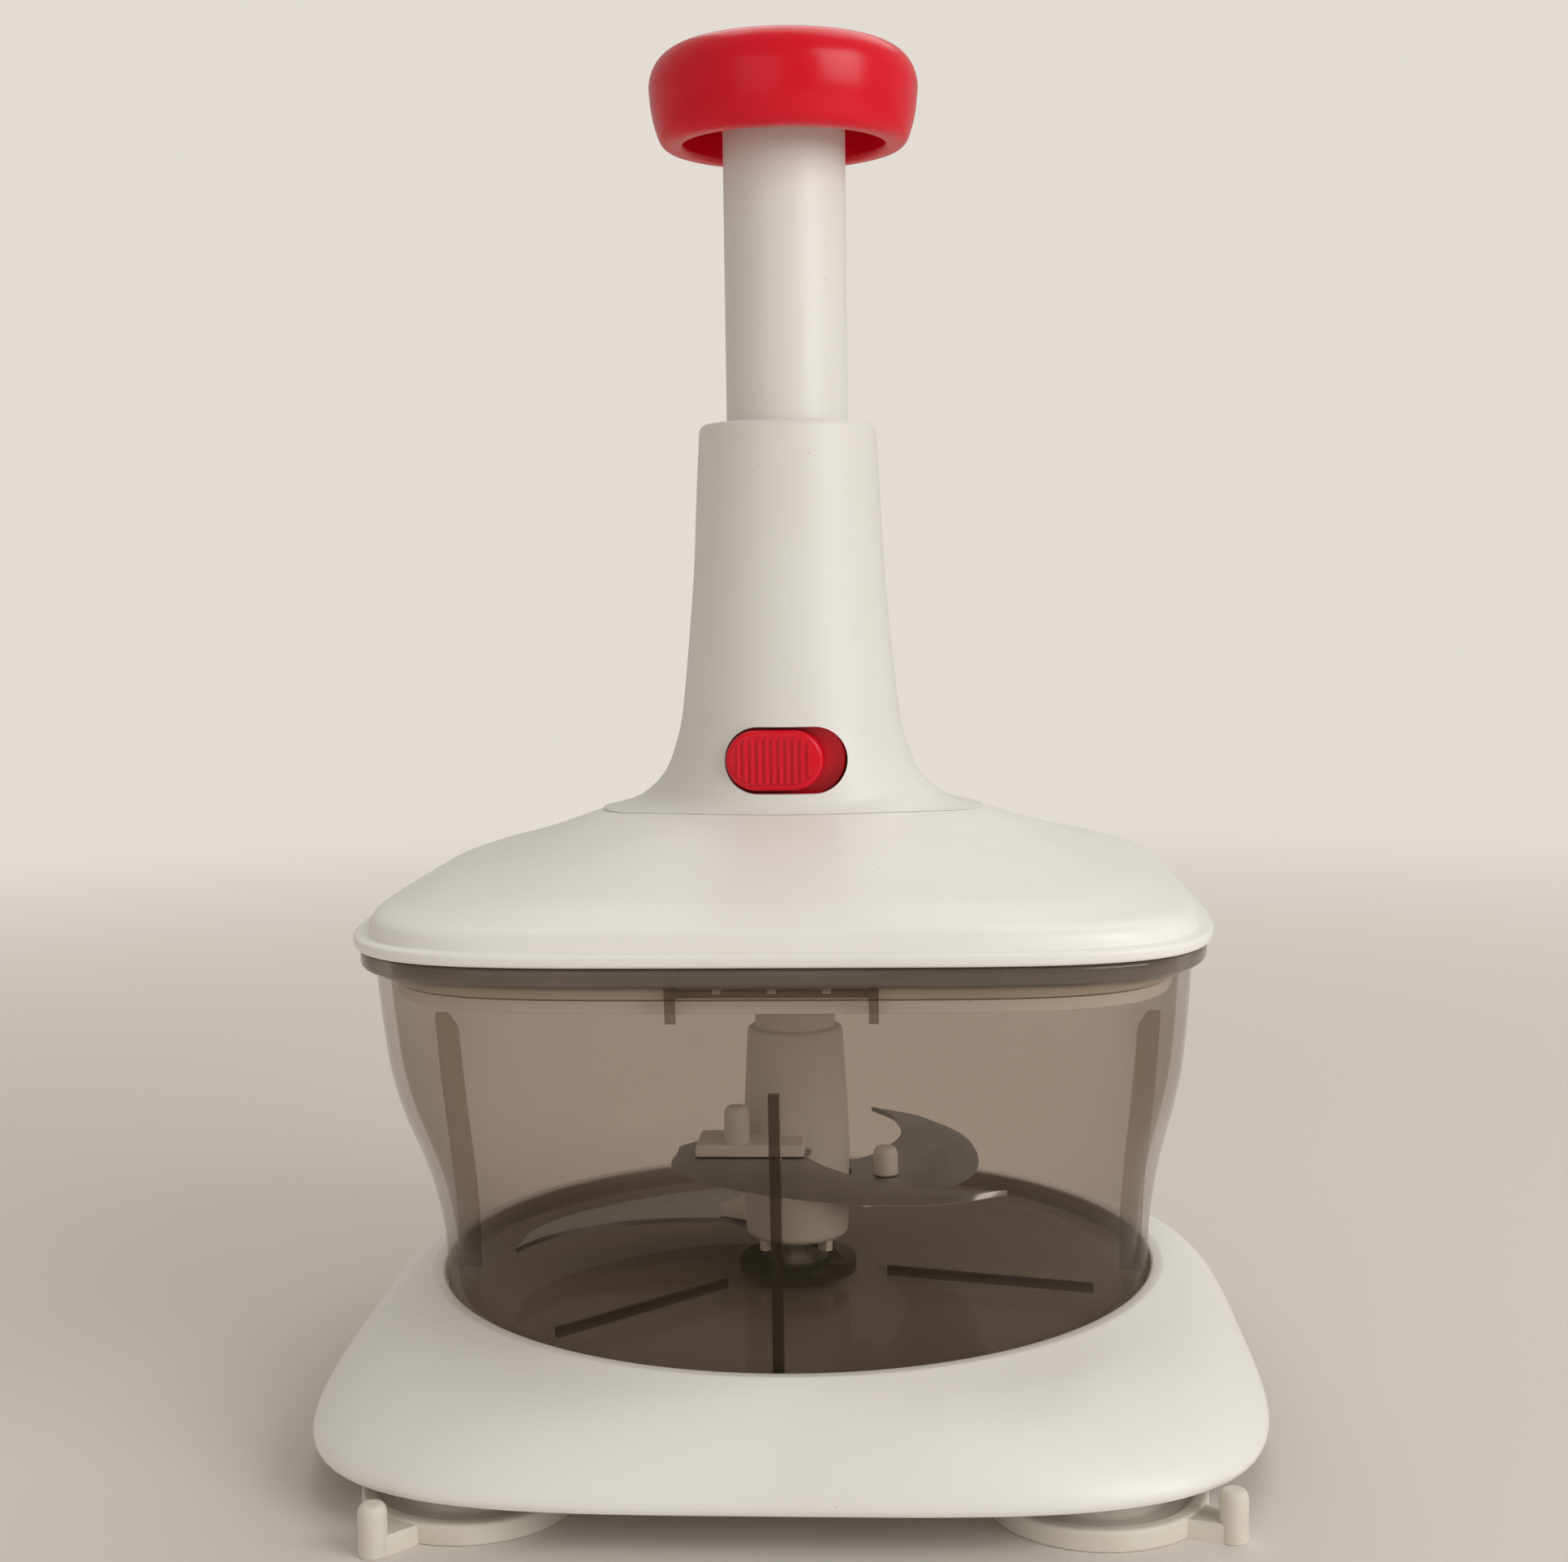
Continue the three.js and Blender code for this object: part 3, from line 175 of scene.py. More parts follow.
@dataclass
class Skin:
    """Points and faces of one closed moulded surface, in millimetres."""

    points: list[Point] = field(default_factory=list)
    faces: list[Sequence[int]] = field(default_factory=list)

    def add_ring(self, ring: Iterable[Point]) -> list[int]:
        """Adds points.

        Args:
            ring: the points.

        Returns:
            Their numbers.
        """
        first = len(self.points)
        self.points.extend(ring)
        return list(range(first, len(self.points)))

    def bridge(self, *rings: Sequence[int]) -> "Skin":
        """Joins each ring to the next one of its length, or to a single point.

        Args:
            rings: the rings' point numbers, in order.

        Returns:
            This skin, with the strips of faces added.
        """
        for low, high in zip(rings, rings[1:]):
            count = max(len(low), len(high))
            for i in range(count if count > 1 else 0):
                j = (i + 1) % count
                if len(low) == 1:
                    self.faces.append((low[0], high[j], high[i]))
                elif len(high) == 1:
                    self.faces.append((low[i], low[j], high[0]))
                else:
                    self.faces.append((low[i], low[j], high[j], high[i]))
        return self

    def cap(self, low: Sequence[int], high: Sequence[int]) -> "Skin":
        """Closes a bridged surface at its lowest and highest ring."""
        self.faces += [tuple(reversed(low)), tuple(high)]
        return self

    def loft(self, levels: Sequence[Point], sides: int = LARGE_SIDES,
             closed: bool = False) -> "Skin":
        """Wraps a surface round the upright axis.

        Args:
            levels: half width, height, squareness and half depth of each ring, or for a circle
                only the first two.
            sides: how many facets go round.
            closed: whether the last ring joins the first, as on a collar.

        Returns:
            This skin, with the surface added.
        """
        rings = []
        for half_x, z, *form in levels:
            square, half_y = form or (CIRCLE, half_x)
            ring = []
            for i in range(sides if half_x > ON_AXIS else 0):
                angle = math.tau * i / sides
                cos, sin = math.cos(angle), math.sin(angle)
                stretch = (abs(cos) ** square + abs(sin) ** square) ** (-1 / square)
                ring.append((half_x * stretch * cos, half_y * stretch * sin, z))
            rings.append(self.add_ring(ring or [(0.0, 0.0, z)]))
        self.bridge(*rings, *(rings[:1] if closed else ()))
        if not closed:
            self.faces += [tuple(ring) for ring in (rings[0], rings[-1]) if len(ring) > 1]
        return self

    def lathe(self, corners: Sequence[Point], steps: int, sides: int,
              closed: bool = False) -> "Skin":
        """Wraps a rounded outline round the upright axis."""
        return self.loft(rounded(corners, steps, closed), sides, closed)

    def rod(self, radius: float, low: float, high: float, sides: int) -> "Skin":
        """Adds a plain upright rod on the axis."""
        return self.loft([(0.0, low), (radius, low), (radius, high), (0.0, high)], sides)

    def extrude(self, outline: Sequence[Point], low: float, high: float,
                inset: float = 0.0) -> "Skin":
        """Raises an outline in the XY plane into a plate.

        Args:
            outline: the outline's points.
            low: the underside's height.
            high: the top's height.
            inset: how far the corner between side and top is eased.

        Returns:
            This skin, with the plate added.
        """
        centre = tuple(sum(p[i] for p in outline) / len(outline) for i in (0, 1))
        span = max(math.dist(p[:2], centre) for p in outline)
        stops = [(low, 0.0), (high - inset, 0.0)] + ([(high, inset / span)] if inset else [])
        rings = [self.add_ring([(*between(p[:2], centre, share), height) for p in outline])
                 for height, share in stops]
        return self.bridge(*rings).cap(rings[0], rings[-1])

    def moved(self, change: Callable[[Point], Point]) -> "Skin":
        """Passes every point through a change."""
        self.points = [change(p) for p in self.points]
        return self

    def turned(self, degrees: float) -> "Skin":
        """Turns the skin about the upright axis."""
        turn = Matrix.Rotation(math.radians(degrees), 3, "Z")
        return self.moved(lambda p: tuple(turn @ Vector(p)))

    def shifted(self, x: float, y: float = 0.0) -> "Skin":
        """Moves the skin along the table."""
        return self.moved(lambda p: (p[0] + x, p[1] + y, p[2]))

    def plus(self, other: "Skin") -> "Skin":
        """Adds another skin's points and faces.

        Args:
            other: the skin to add.

        Returns:
            This skin, with both.
        """
        first = len(self.points)
        self.points.extend(other.points)
        self.faces.extend(tuple(i + first for i in face) for face in other.faces)
        return self


def block(low: Point, high: Point, easing: float = 0.3) -> Skin:
    """Gives a moulded block with eased upright corners and top.

    Args:
        low: its lowest corner.
        high: its highest corner.
        easing: the size of the eased corners.

    Returns:
        The block's skin.
    """
    plan = [(low[0], low[1]), (high[0], low[1]), (high[0], high[1]), (low[0], high[1])]
    outline = rounded([(*corner, easing) for corner in plan], 3, closed=True)
    return Skin().extrude(outline, low[2], high[2], easing)


class Join(Enum):
    """How other solids change a piece."""

    ADD = "UNION"
    TAKE = "DIFFERENCE"


@dataclass
class Piece:
    """One visible piece of the chopper."""

    name: str
    body: str
    object: bpy.types.Object

    @classmethod
    def build(cls, name: str, body: str, skin: Skin) -> "Piece":
        """Makes a piece from a skin, with doubled points welded and faces turned outwards.

        Args:
            name: the piece's name.
            body: the moving body it belongs to.
            skin: its surface.

        Returns:
            The new piece.
        """
        mesh = bpy.data.meshes.new(name)
        mesh.from_pydata([tuple(v * MM for v in p) for p in skin.points], [],
                         [tuple(f) for f in skin.faces])
        work = bmesh.new()
        work.from_mesh(mesh)
        bmesh.ops.remove_doubles(work, verts=work.verts, dist=WELD)
        bmesh.ops.recalc_face_normals(work, faces=work.faces)
        work.to_mesh(mesh)
        work.free()
        made = cls(name, body, bpy.data.objects.new(name, mesh))
        bpy.context.scene.collection.objects.link(made.object)
        return made.smoothed()

    def smoothed(self) -> "Piece":
        """Shades the piece smooth up to its sharp edges.

        Returns:
            This piece.
        """
        self.object.data.shade_smooth()
        self.object.data.set_sharp_from_angle(angle=SHARP_ANGLE)
        return self

    def merge(self, skin: Skin) -> "Piece":
        """Adds loose parts to the piece's mesh.

        Args:
            skin: the parts' surfaces.

        Returns:
            This piece, with the parts.
        """
        extra = Piece.build(f"{self.name}_extra", self.body, skin).object
        work = bmesh.new()
        work.from_mesh(self.object.data)
        work.from_mesh(extra.data)
        work.to_mesh(self.object.data)
        work.free()
        bpy.data.objects.remove(extra)
        return self.smoothed()

    def shape(self, how: Join, tools: Sequence[Skin]) -> "Piece":
        """Joins or cuts the piece by other solids.

        Args:
            how: what the tools do to the piece.
            tools: the other solids' skins.

        Returns:
            This piece, changed.
        """
        helpers = [Piece.build(f"{self.name}_tool", self.body, tool).object for tool in tools]
        for helper in helpers:
            change = self.object.modifiers.new("change", "BOOLEAN")
            change.operation = how.value
            change.object = helper
            change.solver = "EXACT"
        graph = bpy.context.evaluated_depsgraph_get()
        changed = bpy.data.meshes.new_from_object(self.object.evaluated_get(graph))
        self.object.modifiers.clear()
        self.object.data = changed
        for helper in helpers:
            bpy.data.objects.remove(helper)
        return self.smoothed()

    def dress(self, finish: "Finish", *nodes: str) -> None:
        """Gives the piece its finish and its place on the frame.

        Args:
            finish: the piece's finish.
            nodes: the CAD nodes that it stands for.
        """
        finish.coat(self.object)
        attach(self.object, self.body)
        if nodes:
            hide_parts(*nodes)
        log.info("%s rides on %s with %d faces", self.name, self.body,
                 len(self.object.data.polygons))


# Finishes and their nodes


class Signal:
    """A socket that takes part in plain expressions."""

    def __init__(self, nodes: "Nodes", socket: bpy.types.NodeSocket) -> None:
        """Keeps the socket and the nodes that it is part of."""
        self.nodes = nodes
        self.socket = socket

    def _math(self, operation: str, *values: object) -> "Signal":
        """Adds a Math node on these values."""
        return self.nodes.signal("Math", 0, dict(enumerate(values)), operation=operation)

    def __add__(self, other: "Signal | float") -> "Signal":
        """Adds a value."""
        return self._math("ADD", self, other)

    def __rsub__(self, other: "Signal | float") -> "Signal":
        """Is taken away from a value."""
        return self._math("SUBTRACT", other, self)

    def __mul__(self, other: "Signal | float") -> "Signal":
        """Multiplies by a value."""
        return self._math("MULTIPLY", self, other)

    def __sub__(self, other: "Signal | float") -> "Signal":
        """Takes a value away."""
        return self._math("SUBTRACT", self, other)

    def __gt__(self, other: "Signal | float") -> "Signal":
        """Is one where it is more than a value."""
        return self._math("GREATER_THAN", self, other)

    __radd__ = __add__
    __rmul__ = __mul__

    def at_least(self, other: "bpy.types.NodeSocket | float") -> "Signal":
        """Is never less than a value."""
        return self._math("MAXIMUM", self, other)

    def ramp(self, low: float, high: float) -> "Signal":
        """Rises smoothly from 0 to 1 between two values."""
        return self.nodes.signal("MapRange", 0, {"Value": self, "From Min": low, "From Max": high},
                                 interpolation_type="SMOOTHSTEP")


class Nodes:
    """A node tree that is built through one method for every kind of node."""

    def __init__(self, tree: bpy.types.NodeTree) -> None:
        """Empties the tree."""
        self.tree = tree
        tree.nodes.clear()

    def fill(self, socket: bpy.types.NodeSocket, value: object) -> None:
        """Links a socket or sets its value.

        Args:
            socket: the socket.
            value: a signal or another socket to link, or else a number, vector or colour.
        """
        source = value.socket if isinstance(value, Signal) else value
        if isinstance(source, bpy.types.NodeSocket):
            self.tree.links.new(source, socket)
        else:
            socket.default_value = (*value, 1.0) if socket.type == "RGBA" else value

    def node(self, kind: str, inputs: dict | None = None, **settings: str) -> bpy.types.Node:
        """Adds one node.

        Args:
            kind: the node's type, without the words that all types start with.
            inputs: what its sockets get.
            settings: its settings, set before its sockets.

        Returns:
            The new node.
        """
        made = self.tree.nodes.new(f"ShaderNode{kind}")
        for key, value in settings.items():
            setattr(made, key, value)
        for key, value in (inputs or {}).items():
            self.fill(made.inputs[key], value)
        return made

    def signal(self, kind: str, out: int | str, inputs: dict | None = None,
               **settings: str) -> Signal:
        """Adds one node and gives the output of that number or name."""
        return Signal(self, self.node(kind, inputs, **settings).outputs[out])

    def seen_directly(self) -> Signal:
        """Is 1 for the eye and through clear pieces, and 0 for light on other pieces."""
        path = self.node("LightPath").outputs
        return Signal(self, path["Is Camera Ray"]).at_least(path["Is Transmission Ray"])


class Shader(Nodes):
    """The nodes of one material."""

    def __init__(self, name: str) -> None:
        """Starts a material with its surface shader.

        Args:
            name: the material's name.
        """
        self.material = bpy.data.materials.new(name)
        self.material.use_nodes = True
        super().__init__(self.material.node_tree)
        self.surface = self.node("BsdfPrincipled")
        self.output = self.node("OutputMaterial", {"Surface": self.surface.outputs[0]})
        self.place = self.node("TexCoord").outputs["Object"]

    def noise(self, scale: float, detail: float = 2.0,
              stretch: Point = (1.0, 1.0, 1.0)) -> Signal:
        """Gives a soft mottle over the surface.

        Args:
            scale: how many patches go in a metre.
            detail: how many finer layers it has.
            stretch: how much it is squeezed along each axis.

        Returns:
            The mottle, from 0 to 1.
        """
        spread = self.signal("Mapping", 0, {"Vector": self.place, "Scale": stretch})
        return self.signal("TexNoise", 0, {
            "Vector": spread, "Scale": scale, "Detail": detail, "Roughness": 0.55})

    def specks(self, scale: float, size: float, rarity: float = 0.72) -> Signal:
        """Gives sparse small dots.

        Args:
            scale: how many cells go in a metre.
            size: the dots' radius as a share of a cell.
            rarity: about which share of the cells has no dot.

        Returns:
            One inside the dots and 0 elsewhere.
        """
        cells = self.node("TexVoronoi", {"Vector": self.place, "Scale": scale}, feature="F1")
        chosen, away = (Signal(self, cells.outputs[name]) for name in ("Color", "Distance"))
        return (1.0 - away.ramp(size * 0.5, size)) * (chosen > rarity)

    def tint(self, share: Signal, first: Color | Signal, second: Color) -> Signal:
        """Blends two colours by a share."""
        return self.signal("Mix", 2, {0: share, 6: first, 7: second}, data_type="RGBA")

    def grazing(self) -> Signal:
        """Is 0 where the surface faces the eye and rises to 1 where it turns away."""
        return self.signal("LayerWeight", "Facing", {"Blend": 0.5})

    def height(self) -> Signal:
        """Gives the height over the piece's origin in metres."""
        return self.signal("SeparateXYZ", "Z", {0: self.place})

    def from_axis(self) -> Signal:
        """Gives the distance from the piece's origin in metres."""
        return self.signal("VectorMath", "Value", {0: self.place}, operation="LENGTH")

    def relief(self, height: Signal, depth: float) -> Signal:
        """Turns a height over the surface into a bumped normal."""
        return self.signal("Bump", 0, {"Height": height, "Distance": depth, "Strength": 1.0})

    def blend(self, share: Signal, other: bpy.types.Node) -> None:
        """Lets another shader take over the surface by a share."""
        both = self.node("MixShader", {0: share, 1: self.surface.outputs[0], 2: other.outputs[0]})
        self.fill(self.output.inputs["Surface"], both.outputs[0])

    def set(self, **values: object) -> None:
        """Sets the surface's sockets, with spaces for the underscores in their names."""
        for key, value in values.items():
            self.fill(self.surface.inputs[key.replace("_", " ")], value)


@dataclass(frozen=True)
class Finish:
    """What every finish has: its name and the record's slot."""

    name: str
    slot: str

    def paint(self, shader: Shader) -> None:
        """Fills in the shader; each finish does it its own way."""
        raise NotImplementedError

    def coat(self, target: bpy.types.Object) -> None:
        """Gives an object the finish's material, which is made once.

        Args:
            target: the object.
        """
        name = f"{self.name}_look"
        if name not in bpy.data.materials:
            self.paint(Shader(name))
        target.data.materials.clear()
        target.data.materials.append(bpy.data.materials[name])


@dataclass(frozen=True)
class MouldedPlastic(Finish):
    """Opaque moulded plastic with a faint mould texture and a few dark specks of dust."""

    color: Color
    shade: Color
    roughness: float
    grain: float
    dust: float = 0.35
    ior: float = 1.5
    gloss: float = 0.5
    cloud_scale: float = 18.0
    sheen_scale: float = 45.0
    wave_scale: float = 120.0
    fine_scale: float = 900.0
    speck_scale: float = 240.0
    speck_size: float = 0.075
    grime: float = 0.35

    def paint(self, shader: Shader) -> None:
        """Mottles the colour and gloss, and adds specks and a soft mould grain.

        Args:
            shader: the material's nodes.
        """
        cloud, sheen = shader.noise(self.cloud_scale, 3.0), shader.noise(self.sheen_scale, 4.0)
        fine, wave = shader.noise(self.fine_scale), shader.noise(self.wave_scale, 1.0)
        clean = shader.tint(cloud.ramp(0.35, 0.7), self.color, self.shade)
        dirt = shader.specks(self.speck_scale, self.speck_size) * self.dust
        shader.set(
            Base_Color=shader.tint(dirt, clean, tuple(c * self.grime for c in self.color)),
            Roughness=self.roughness - 0.05 + 0.1 * sheen + 0.04 * fine,
            Normal=shader.relief(fine * 0.35 + wave, self.grain),
            IOR=self.ior, Specular_IOR_Level=self.gloss)


@dataclass(frozen=True)
class SmokyClear(Finish):
    """See-through smoky plastic: thin where it faces the eye, dense where it turns away, with
    painted shade as extra dark cover over the floor and a denser band at the rim.
    """

    passing: Color
    color: Color = (0.14, 0.113, 0.09)
    shade: Color = (0.17, 0.138, 0.112)
    facing: float = 0.25
    turned: float = 0.43
    # bottom and floor_at set painted shade: extra dark cover over the floor band, standing in for
    # the shade in the well beneath
    bottom: float = 0.0
    rim: float = 0.0
    floor_at: float = 0.0
    rim_at: float = 1.0
    change: float = 0.0015
    smear_scale: float = 30.0
    smear_stretch: Point = (1.0, 1.0, 2.5)
    wave_scale: float = 55.0
    fine_scale: float = 260.0
    wave_depth: float = 0.00003

    def paint(self, shader: Shader) -> None:
        """Makes a glossy skin whose cover grows towards its edges, with faint wiping marks, painted
        shade as extra dark cover over the floor and a denser band at the rim.

        Args:
            shader: the material's nodes.
        """
        smear = shader.noise(self.smear_scale, 4.0, self.smear_stretch).ramp(0.45, 0.75)
        edge, high = shader.grazing(), shader.height()
        # painted shade: the floor band's extra dark cover stands in for the shade in the well
        # beneath; the rim band is denser too
        floor_shade_and_rim = (self.bottom * (1.0 - high.ramp(self.floor_at, self.floor_at + self.change))
                 + self.rim * high.ramp(self.rim_at - self.change, self.rim_at))
        cover = self.facing + 0.03 * smear + self.turned * edge * edge * edge + floor_shade_and_rim
        shader.set(
            Base_Color=shader.tint(smear, self.color, self.shade), IOR=1.5,
            Roughness=0.03 + 0.05 * smear + 0.03 * shader.noise(self.fine_scale),
            Normal=shader.relief(shader.noise(self.wave_scale, 1.0), self.wave_depth),
            Alpha=cover)
        shader.blend(1.0 - cover, shader.node("BsdfTransparent", {"Color": self.passing}))


@dataclass(frozen=True)
class GroundSteel(Finish):
    """Steel sheet with fine grinding lines."""

    color: Color
    roughness: float = 0.32
    line_scale: float = 500.0
    line_stretch: Point = (1.0, 0.04, 1.0)
    line_depth: float = 0.000015
    cloud_scale: float = 40.0
    darkening: float = 0.82

    def paint(self, shader: Shader) -> None:
        """Draws the grinding lines in gloss and relief, over a slightly cloudy grey.

        Args:
            shader: the material's nodes.
        """
        lines = shader.noise(self.line_scale, 3.0, self.line_stretch)
        cloud = shader.noise(self.cloud_scale, 3.0)
        dark = tuple(c * self.darkening for c in self.color)
        shader.set(
            Base_Color=shader.tint(cloud.ramp(0.3, 0.7), self.color, dark), Metallic=1.0,
            Roughness=self.roughness + 0.16 * lines - 0.06 * cloud,
            Normal=shader.relief(lines, self.line_depth))


@dataclass(frozen=True)
class SoftRubber(Finish):
    """Soft cream rubber with a chalky surface."""

    color: Color
    shade: Color
    cloud_scale: float = 60.0
    chalk_scale: float = 1400.0
    chalk_depth: float = 0.00003
    glow: float = 0.12
    glow_reach: Point = (0.004, 0.003, 0.002)

    def paint(self, shader: Shader) -> None:
        """Mottles the colour and roughens the surface.

        Args:
            shader: the material's nodes.
        """
        cloud, chalk = shader.noise(self.cloud_scale, 4.0), shader.noise(self.chalk_scale)
        shader.set(
            Base_Color=shader.tint(cloud.ramp(0.35, 0.75), self.color, self.shade),
            Roughness=0.5 + 0.15 * chalk,
            Normal=shader.relief(chalk * 0.5 + cloud, self.chalk_depth),
            Subsurface_Weight=self.glow, Subsurface_Radius=self.glow_reach, IOR=1.45)


GLOSS_WHITE = MouldedPlastic("gloss_white", "gloss_white", srgb(246, 244, 240), srgb(242, 239, 234),
                             roughness=0.33, grain=0.0000015)
SATIN_WHITE = MouldedPlastic("satin_white", "gloss_white", srgb(233, 231, 226), srgb(229, 226, 220),
                             roughness=0.4, grain=0.00001)
SHAFT_WHITE = MouldedPlastic("shaft_white", "shaft_white", srgb(226, 222, 214), srgb(218, 213, 204),
                             roughness=0.45, grain=0.00001, dust=0.2)
NYLON = MouldedPlastic("white_nylon", "white_nylon", srgb(238, 236, 230), srgb(230, 227, 220),
                       roughness=0.45, grain=0.00002, dust=0.1)
GLOSS_RED = MouldedPlastic("gloss_red", "gloss_red", srgb(228, 2, 38), srgb(219, 1, 33),
                           roughness=0.24, grain=0.000003, dust=0.2, ior=1.45, gloss=0.4)
# the bowl's bottom share is painted shade: extra dark cover over the floor for the shade in the
# well beneath
SMOKE = SmokyClear("smoky_clear", "smoky_clear", (0.873, 0.829, 0.789),
                   bottom=0.175, rim=0.6, floor_at=0.0243, rim_at=0.0955)
THIN_SMOKE = SmokyClear("smoky_thin", "smoky_clear", (0.83, 0.777, 0.723))
MEDIUM_SMOKE = SmokyClear("smoky_medium", "smoky_clear", (0.67, 0.6, 0.533),
                          (0.08, 0.063, 0.05), (0.1, 0.08, 0.064), facing=0.37)
THICK_SMOKE = SmokyClear("smoky_thick", "smoky_clear", (0.43, 0.34, 0.25),
                         (0.05, 0.038, 0.03), (0.06, 0.047, 0.037), facing=0.5)
BLADE_STEEL = GroundSteel("blade_steel", "blade_steel", srgb(168, 168, 167))
PLAIN_STEEL = GroundSteel("plain_steel", "plain_steel", srgb(170, 169, 166), 0.25, 900.0)
CREAM_RUBBER = SoftRubber("cream_rubber", "cream_rubber", srgb(226, 220, 206), srgb(216, 208, 192))


# Base and suction cups


@dataclass
class SuctionBase:
    """The rounded square skirt that carries the bowl."""

    wall: float = 2.2
    rim_width: float = 2.4
    well_gap: float = 0.5
    well_depth: float = 5.5
    well_chamfer: float = 1.2
    foot_ease: float = 0.3
    squareness: float = 4.0
    boss_radius: float = 9.0
    boss_rise: float = 2.6
    web_drop: float = 9.0
    web_inset: float = 6.0
    web_overlap: float = 1.0
    rib_thickness: float = 1.8
    cup_inset_x: float = 34.5
    cup_inset_y: float = 25.0
    level_shares: tuple[Point, ...] = (
        (0.0, 0.0, 0.0), (0.17, 0.08, 0.06), (0.36, 0.2, 0.25), (0.58, 0.37, 0.5),
        (0.8, 0.6, 0.78), (0.95, 0.8, 0.95), (1.0, 0.92, 1.0), (0.985, 0.985, 1.0))

    def __post_init__(self) -> None:
        """Reads the skirt's outer sizes from the frame."""
        self.half_x, self.half_y = (extent("base_shell", axis)[1] for axis in (Axis.X, Axis.Y))
        self.low, self.rim = extent("base_shell", Axis.Z)
        self.well_radius = BOWL_FOOT + self.well_gap

    def levels(self, inset: float) -> list[Point]:
        """Gives the skirt's rings from the rim down.

        Args:
            inset: how far they are moved inwards.

        Returns:
            The rings, as a loft takes them.
        """
        start = self.well_radius + self.rim_width
        return [(mix(start, self.half_x, out) - inset, mix(self.rim, self.low, down) - inset,
                 mix(CIRCLE, self.squareness, square), mix(start, self.half_y, out) - inset)
                for out, down, square in self.level_shares]

    def cup_places(self) -> dict[str, Point]:
        """Gives the middle of each suction cup.

        Returns:
            The place of each by its name.
        """
        x, y = self.half_x - self.cup_inset_x, self.half_y - self.cup_inset_y
        return {"front_left": (-x, -y), "front_right": (x, -y),
                "rear_right": (x, y), "rear_left": (-x, y)}

    def skirt(self) -> Skin:
        """Lofts the well, the rim, the outside and the inside.

        Returns:
            The skirt's skin.
        """
        floor, well = self.rim - self.well_depth, self.well_radius
        outside = flow(self.levels(0.0))
        inside = [ring for ring in reversed(self.levels(self.wall))
                  if ring[1] > self.low + self.wall]
        bottom = [level(0.0, floor), level(well - self.well_chamfer, floor),
                  level(well, floor + self.well_chamfer)]
        crown = rounded([(*bottom[-1], 0.0), (*level(well, self.rim), 0.8),
                         (*outside[0], 0.6), (*outside[1], 0.0)], 3)
        half_x, _, square, half_y = outside[-1]
        foot = rounded([
            (*outside[-1], 0.0),
            (half_x - self.foot_ease, self.low, square, half_y - self.foot_ease, 0.6),
            (half_x - self.wall, self.low, square, half_y - self.wall, 0.5), (*inside[0], 0.0)], 3)
        under, roof = well + self.wall, floor - self.wall
        return Skin().loft([*bottom, *crown, *outside[2:], *foot, *inside[1:],
                            level(under, inside[-1][1]), level(under, roof), level(0.0, roof)])

    def dress(self) -> None:
        """Puts the skirt with its webs and cup bosses on the base."""
        low, high = self.low + self.boss_rise, self.rim - self.web_drop
        half = self.rib_thickness / 2
        start = self.well_radius + self.wall - self.web_overlap
        end = self.half_x - self.wall / 2 - self.web_inset
        webs = Skin()
        for turn in QUARTERS:
            webs.plus(block((start, -half, low), (end, half, high)).turned(turn))
        for x, y in self.cup_places().values():
            webs.plus(Skin().rod(self.boss_radius, low, high, 48).shifted(x, y))
        piece = Piece.build("base_skirt", "base", self.skirt())
        piece.merge(webs).dress(GLOSS_WHITE, "base_shell")


